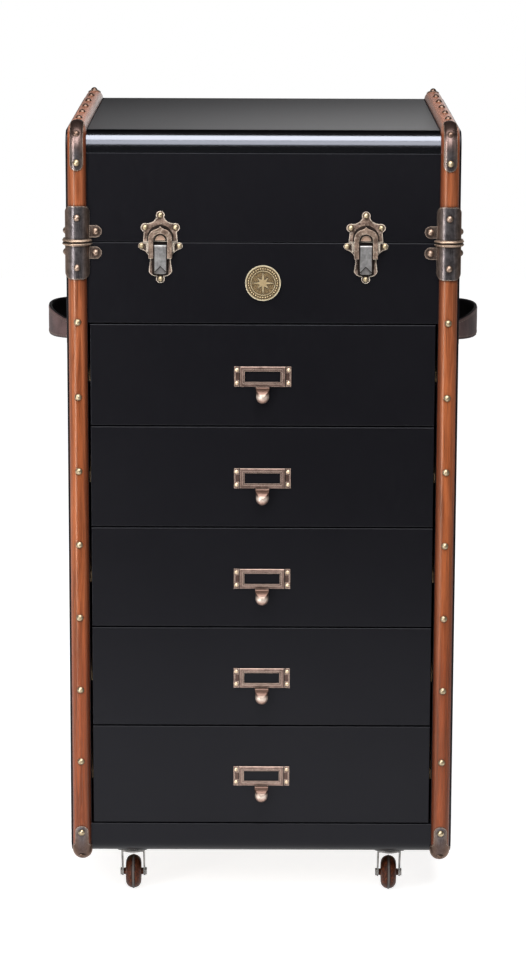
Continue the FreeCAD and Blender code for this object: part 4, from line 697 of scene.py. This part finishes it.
STRAP_THICK = 5 * MM
STRAP_EDGE = 1.7 * MM        # how far in from each side its rounding starts
STRAP_CROWN = 0.35 * MM      # how far its face rises toward the middle
STRAP_THINNED = 0.3 * MM     # how much flatter the rounding is, on each face
STRAP_GAP = 0.3 * MM         # between the case and the strap's ends
STRAP_END_HALF = 13.5 * MM   # half its height at its ends
BOW_HALF = 115 * MM          # half the length that bows out from the case
STRAP_STATIONS = 96
FACE, EDGE = 0, 1            # the strap's two looks
STITCH_START = 4 * MM
STITCH_PITCH = 6 * MM
STITCH_REACH = 114 * MM      # as far as the bridges
STITCH_MARGIN = 4.2 * MM     # from the strap's side to the row
STITCH_SUNK = 0.12 * MM
STITCH_LENGTH = 4 * MM
STITCH_RADIUS = 0.45 * MM


def handle_line(side):
    """Points down the middle of a handle's strap, (x, y, half height), from front to back, and its Z."""
    low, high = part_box(f"handle_{side}")
    inner = SIDE_X + STRAP_GAP
    flat = inner + STRAP_THICK / 2
    rise = max(abs(low.x), abs(high.x)) - inner - STRAP_THICK
    radius = (BOW_HALF ** 2 + rise ** 2) / (2 * rise)
    reach = (high.y - low.y) / 2
    tall = (high.z - low.z) / 2
    line = []
    for station in range(STRAP_STATIONS + 1):
        y = -reach + 2 * reach * station / STRAP_STATIONS
        bow, half = 0.0, STRAP_END_HALF
        if abs(y) < BOW_HALF:
            bow = math.sqrt(radius ** 2 - y ** 2) - (radius - rise)
            half = STRAP_END_HALF + (tall - STRAP_END_HALF) * (1 - (y / BOW_HALF) ** 2)
        line.append([flat + bow, y, half])
    easings = 4
    for _ in range(easings):
        eased = [point[:] for point in line]
        for k in range(1, STRAP_STATIONS):
            eased[k][0] = max(flat, (line[k - 1][0] + line[k][0] + line[k + 1][0]) / 3)
            eased[k][2] = (line[k - 1][2] + line[k][2] + line[k + 1][2]) / 3
        line = eased
    middle_y = (high.y + low.y) / 2
    return [(x, y + middle_y, half) for x, y, half in line], (low.z + high.z) / 2


def strap_stations(line):
    """The strap's middle at each station, with the ways along and outward, and its half height."""
    stations = []
    for k, (x, y, half) in enumerate(line):
        before = Vector(line[max(k - 1, 0)][:2])
        after = Vector(line[min(k + 1, len(line) - 1)][:2])
        along = (after - before).normalized()
        outward = Vector((along.y, -along.x))
        stations.append((Vector((x, y)), along, outward, half))
    return stations


def strap_section(half):
    """The strap's outline across its height, as (up, out), and the look of what follows each point."""
    flat = half - STRAP_EDGE
    face_steps, edge_steps, back_steps = 12, 6, 8

    def rounding(sign):
        """Points round the strap's top (1) or its bottom (-1)."""
        turns = [sign * math.pi / 2 - math.pi * step / edge_steps for step in range(1, edge_steps)]
        return [(sign * flat + STRAP_EDGE * math.cos(turn),
                 (STRAP_THICK / 2 - STRAP_THINNED) * math.sin(turn)) for turn in turns]

    shares = [-1 + 2 * step / face_steps for step in range(face_steps + 1)]
    face = [(share * flat, STRAP_THICK / 2 - STRAP_CROWN * share ** 2) for share in shares]
    shares = [1 - 2 * step / back_steps for step in range(back_steps + 1)]
    back = [(share * flat, -STRAP_THICK / 2) for share in shares]
    points = face + rounding(1) + back + rounding(-1)
    return points, [FACE] * len(face) + [EDGE] * (len(points) - len(face))


def make_strap(side, flip, stations, middle_z):
    """A leather strap with dark edges, in place of the plain handle."""
    verts, faces, indices = [], [], []
    for spot, _, outward, half in stations:
        points, looks = strap_section(half)
        for up, out in points:
            place = spot + outward * out
            verts.append((flip * place.x, place.y, middle_z + up))
    ring = len(looks)
    for k in range(len(stations) - 1):
        for m in range(ring):
            a = k * ring + m
            b = k * ring + (m + 1) % ring
            quad = (a, b, b + ring, a + ring)
            faces.append(quad if flip > 0 else quad[::-1])
            indices.append(looks[m])
    first = tuple(range(ring))
    last = tuple(range((len(stations) - 1) * ring, len(stations) * ring))
    faces += [first[::-1], last] if flip > 0 else [first, last[::-1]]
    indices += [EDGE, EDGE]
    strap = mesh_piece(f"handle_{side}_strap", verts, faces, [LOOKS["handle_leather"], EDGE_LOOK], "cabinet",
                       indices)
    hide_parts(f"handle_{side}")


def make_stitches(side, flip, stations, middle_z):
    """Two rows of thread stitches along a strap, between its bridges."""
    verts, faces = [], []
    travelled, due = 0.0, STITCH_START
    middle_y = (stations[0][0].y + stations[-1][0].y) / 2
    for (before, _, _, _), (spot, along, outward, half) in zip(stations, stations[1:]):
        travelled += (spot - before).length
        if travelled < due or abs(spot.y - middle_y) > STITCH_REACH:
            continue
        due = travelled + STITCH_PITCH
        centre = spot + outward * (STRAP_THICK / 2 - STITCH_SUNK)
        for up in (-1, 1):
            add_stitch(verts, faces, centre, along, outward, middle_z + up * (half - STITCH_MARGIN), flip)
    mesh_piece(f"handle_{side}_stitches", verts, faces, [THREAD_LOOK], "cabinet")


def add_stitch(verts, faces, centre, along, outward, z, flip):
    """One thread stitch: a short tapering tube that lies on the strap."""
    sides = 6
    fatness = [(-0.5, 0.25), (-0.36, 0.85), (0.0, 1.0), (0.36, 0.85), (0.5, 0.25)]
    start = len(verts)
    for share, fat in fatness:
        arch = STITCH_RADIUS * 0.5 * (1 - (2 * share) ** 2)
        mid = centre + along * (share * STITCH_LENGTH) + outward * arch
        for n in range(sides):
            turn = 2 * math.pi * n / sides
            spot = mid + outward * (STITCH_RADIUS * fat * math.cos(turn))
            verts.append((flip * spot.x, spot.y, z + STITCH_RADIUS * fat * math.sin(turn)))
    for k in range(len(fatness) - 1):
        for n in range(sides):
            a = start + k * sides + n
            b = start + k * sides + (n + 1) % sides
            quad = (a, b, b + sides, a + sides)
            faces.append(quad[::-1] if flip > 0 else quad)
    last = start + (len(fatness) - 1) * sides
    faces.append(tuple(range(start, start + sides)))
    faces.append(tuple(range(last, last + sides))[::-1])


def spread(first, last, k, count):
    """The place that is k steps of count on the way from first to last."""
    return first + (last - first) * k / count


def make_lining(index):
    """A soft velvet lining in a drawer: padded floor and covered walls."""
    low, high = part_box(f"drawer_{index}_box")
    wall, floor, rim, gap, cloth = 12 * MM, 6 * MM, 6 * MM, 0.4 * MM, 1.8 * MM
    cove, pad = 3 * MM, 3.4 * MM        # the round between wall and floor, and the floor's thickness
    right = high.x - wall - gap
    front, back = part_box(f"drawer_{index}_front")[1].y + gap, high.y - wall - gap
    bottom, top = low.z + floor + gap, high.z - rim
    nx, ny = 24, 22
    verts, faces = [], []

    def ring(inset, z):
        """One loop of points round the lining, and where it starts."""
        start = len(verts)
        x0, x1, y0, y1 = -right + inset, right - inset, front + inset, back - inset
        verts.extend((spread(x0, x1, k, nx), y0, z) for k in range(nx))
        verts.extend((x1, spread(y0, y1, k, ny), z) for k in range(ny))
        verts.extend((spread(x1, x0, k, nx), y1, z) for k in range(nx))
        verts.extend((x0, spread(y1, y0, k, ny), z) for k in range(ny))
        return start

    shoulder, brow = top - 0.6 * MM, top - 0.1 * MM
    loops = [ring(0.0, bottom), ring(0.0, shoulder), ring(0.3 * MM, brow), ring(cloth / 2, top),
             ring(cloth - 0.3 * MM, brow), ring(cloth, shoulder), ring(cloth, bottom + 7 * MM),
             ring(cloth + 0.5 * MM, bottom + 4.2 * MM), ring(cloth + cove, bottom + pad)]
    total = 2 * (nx + ny)
    for a, b in zip(loops, loops[1:]):
        for k in range(total):
            m = (k + 1) % total
            faces.append((a + k, a + m, b + m, b + k))
    inset = cloth + cove
    grid = len(verts)
    for j in range(ny + 1):
        for k in range(nx + 1):
            edge = min(k, nx - k, j, ny - j)
            quilting = 0.25 * MM * math.sin(k * 1.7) * math.sin(j * 1.3) * min(edge, 1)
            swell = 1.6 * MM * min(1.0, edge / 3) + quilting
            verts.append((spread(-right + inset, right - inset, k, nx),
                          spread(front + inset, back - inset, j, ny), bottom + pad + swell))
    for j in range(ny):
        for k in range(nx):
            a = grid + j * (nx + 1) + k
            faces.append((a, a + 1, a + nx + 2, a + nx + 1))
    faces.append(tuple(range(loops[0], loops[0] + total))[::-1])
    lining = mesh_piece(f"drawer_{index}_lining", verts, faces, [LOOKS["tray_velvet"]], f"drawer_{index}")


for side, flip in (("right", 1), ("left", -1)):
    line, middle_z = handle_line(side)
    stations = strap_stations(line)
    make_strap(side, flip, stations, middle_z)
    make_stitches(side, flip, stations, middle_z)
for number in range(1, DRAWERS + 1):
    make_lining(number)


# ---------------------------------------------------------------- floor, lights, camera
def make_floor():
    """A plain pale floor that keeps the chest's shadow.

    The camera sees it as white, whiter farther out. Reflections see the same, but dimmer to the right.
    It lights nothing with that glow.
    """
    front, side, back = FACE_Y - 1.5, 6.0, 6.0
    verts = [(-side, front, 0), (side, front, 0), (side, back, 0), (-side, back, 0)]
    mesh = bpy.data.meshes.new("floor")
    mesh.from_pydata(verts, [], [(0, 1, 2, 3)])
    floor = bpy.data.objects.new("floor", mesh)
    bpy.context.scene.collection.objects.link(floor)
    mat = bpy.data.materials.new("floor")
    mat.use_nodes = True
    graph = Graph(mat.node_tree)

    from_middle = graph.add("ShaderNodeVectorMath", operation="LENGTH")
    graph.put(from_middle.inputs[0], graph.place)
    paler = graph.ranged(from_middle.outputs["Value"], 0.4, 1.2, 0.86, 1.0)
    to_right = graph.ranged(graph.axes()["X"], 0.35, 0.9, 1.0, 0.2)
    camera_ray = graph.add("ShaderNodeLightPath").outputs["Is Camera Ray"]
    lit = graph.math("MAXIMUM", to_right, camera_ray)
    glow = graph.add("ShaderNodeEmission")
    graph.put(glow.inputs["Strength"], graph.times(graph.seen(), lit, paler))
    diffuse = graph.add("ShaderNodeBsdfDiffuse")
    graph.put(diffuse.inputs["Color"], (0.48, 0.48, 0.48))
    both = graph.add("ShaderNodeAddShader")
    graph.put(both.inputs[0], diffuse.outputs[0])
    graph.put(both.inputs[1], glow.outputs[0])
    graph.put(graph.add("ShaderNodeOutputMaterial").inputs["Surface"], both.outputs[0])
    mesh.materials.append(mat)


def area_light(name, spot, target, width, height, power):
    """A soft rectangular lamp that the camera doesn't see."""
    data = bpy.data.lights.new(name, "AREA")
    data.shape = "RECTANGLE"
    data.size = width
    data.size_y = height
    data.energy = power
    lamp = bpy.data.objects.new(name, data)
    lamp.location = spot
    lamp.rotation_mode = "QUATERNION"
    lamp.rotation_quaternion = (Vector(target) - Vector(spot)).to_track_quat("-Z", "Y")
    lamp.visible_camera = False
    bpy.context.scene.collection.objects.link(lamp)


def make_world():
    """White to the camera. Metal and glass see the same white backdrop, which stands behind the chest,
    and a dim room everywhere else.
    """
    world = bpy.data.worlds.new("studio")
    bpy.context.scene.world = world
    world.use_nodes = True
    sky = Graph(world.node_tree, "Generated")
    x, y, z = sky.axes()
    band = sky.fall(z, 0.06, 0.23)
    across = sky.times(sky.step(y, 0.55, 0.8), sky.ranged(x, -0.10, 0.06, 0.30, 1.0))
    backdrop = sky.times(band, across)
    camera_ray = sky.add("ShaderNodeLightPath").outputs["Is Camera Ray"]
    share = sky.math("MAXIMUM", camera_ray, sky.times(sky.seen(), backdrop))

    sides = sky.math("ADD", sky.ranged(x, -0.95, -0.5, 0.15, 0.05), sky.ranged(x, 0.5, 0.95, 0.0, 0.02))
    dim = sky.add("ShaderNodeBackground")
    sky.put(dim.inputs["Strength"], sky.times(sides, sky.ranged(y, 0.0, 0.5, 1.0, 0.12)))
    white = sky.add("ShaderNodeBackground")
    sky.put(white.inputs["Color"], (1, 1, 1))
    mixed = sky.add("ShaderNodeMixShader")
    sky.put(mixed.inputs[0], share)
    sky.put(mixed.inputs[1], dim.outputs[0])
    sky.put(mixed.inputs[2], white.outputs[0])
    sky.put(sky.add("ShaderNodeOutputWorld").inputs["Surface"], mixed.outputs[0])


def make_camera():
    """The photograph's view: from in front, 1.6 m up, tipped down 12 degrees."""
    distance, eye_z, off_centre = 4.627, 1.595, 1 * MM
    tip, roll = 11.96, 0.2
    data = bpy.data.cameras.new("camera")
    data.sensor_width = 36.0
    data.lens = 122.27
    data.clip_start = 0.1
    data.clip_end = 100.0
    camera = bpy.data.objects.new("camera", data)
    tipped = Matrix.Rotation(math.radians(90 - tip), 4, "X")
    rolled = Matrix.Rotation(math.radians(roll), 4, "Z")
    camera.matrix_world = Matrix.Translation((off_centre, FACE_Y - distance, eye_z)) @ tipped @ rolled
    bpy.context.scene.collection.objects.link(camera)
    bpy.context.scene.camera = camera


make_floor()
make_world()
# Name, place, what it points at, width, height and power.
area_light("overhead", (0, FACE_Y - 1.08, 2.95), (0, FACE_Y - 1.08, 0), 2.4, 1.62, 102)
area_light("front_top", (0, FACE_Y - 3.0, 2.62), (0, FACE_Y, 1.12), 2.0, 1.85, 47)
area_light("left_strip", (-1.16, FACE_Y - 1.18, 1.18), (0, FACE_Y, 1.18), 0.18, 2.26, 24)
area_light("right_fill", (2.6, FACE_Y - 2.0, 1.4), (0, FACE_Y, 0.7), 0.4, 2.4, 4)
make_camera()
bpy.context.scene.view_settings.view_transform = "Standard"
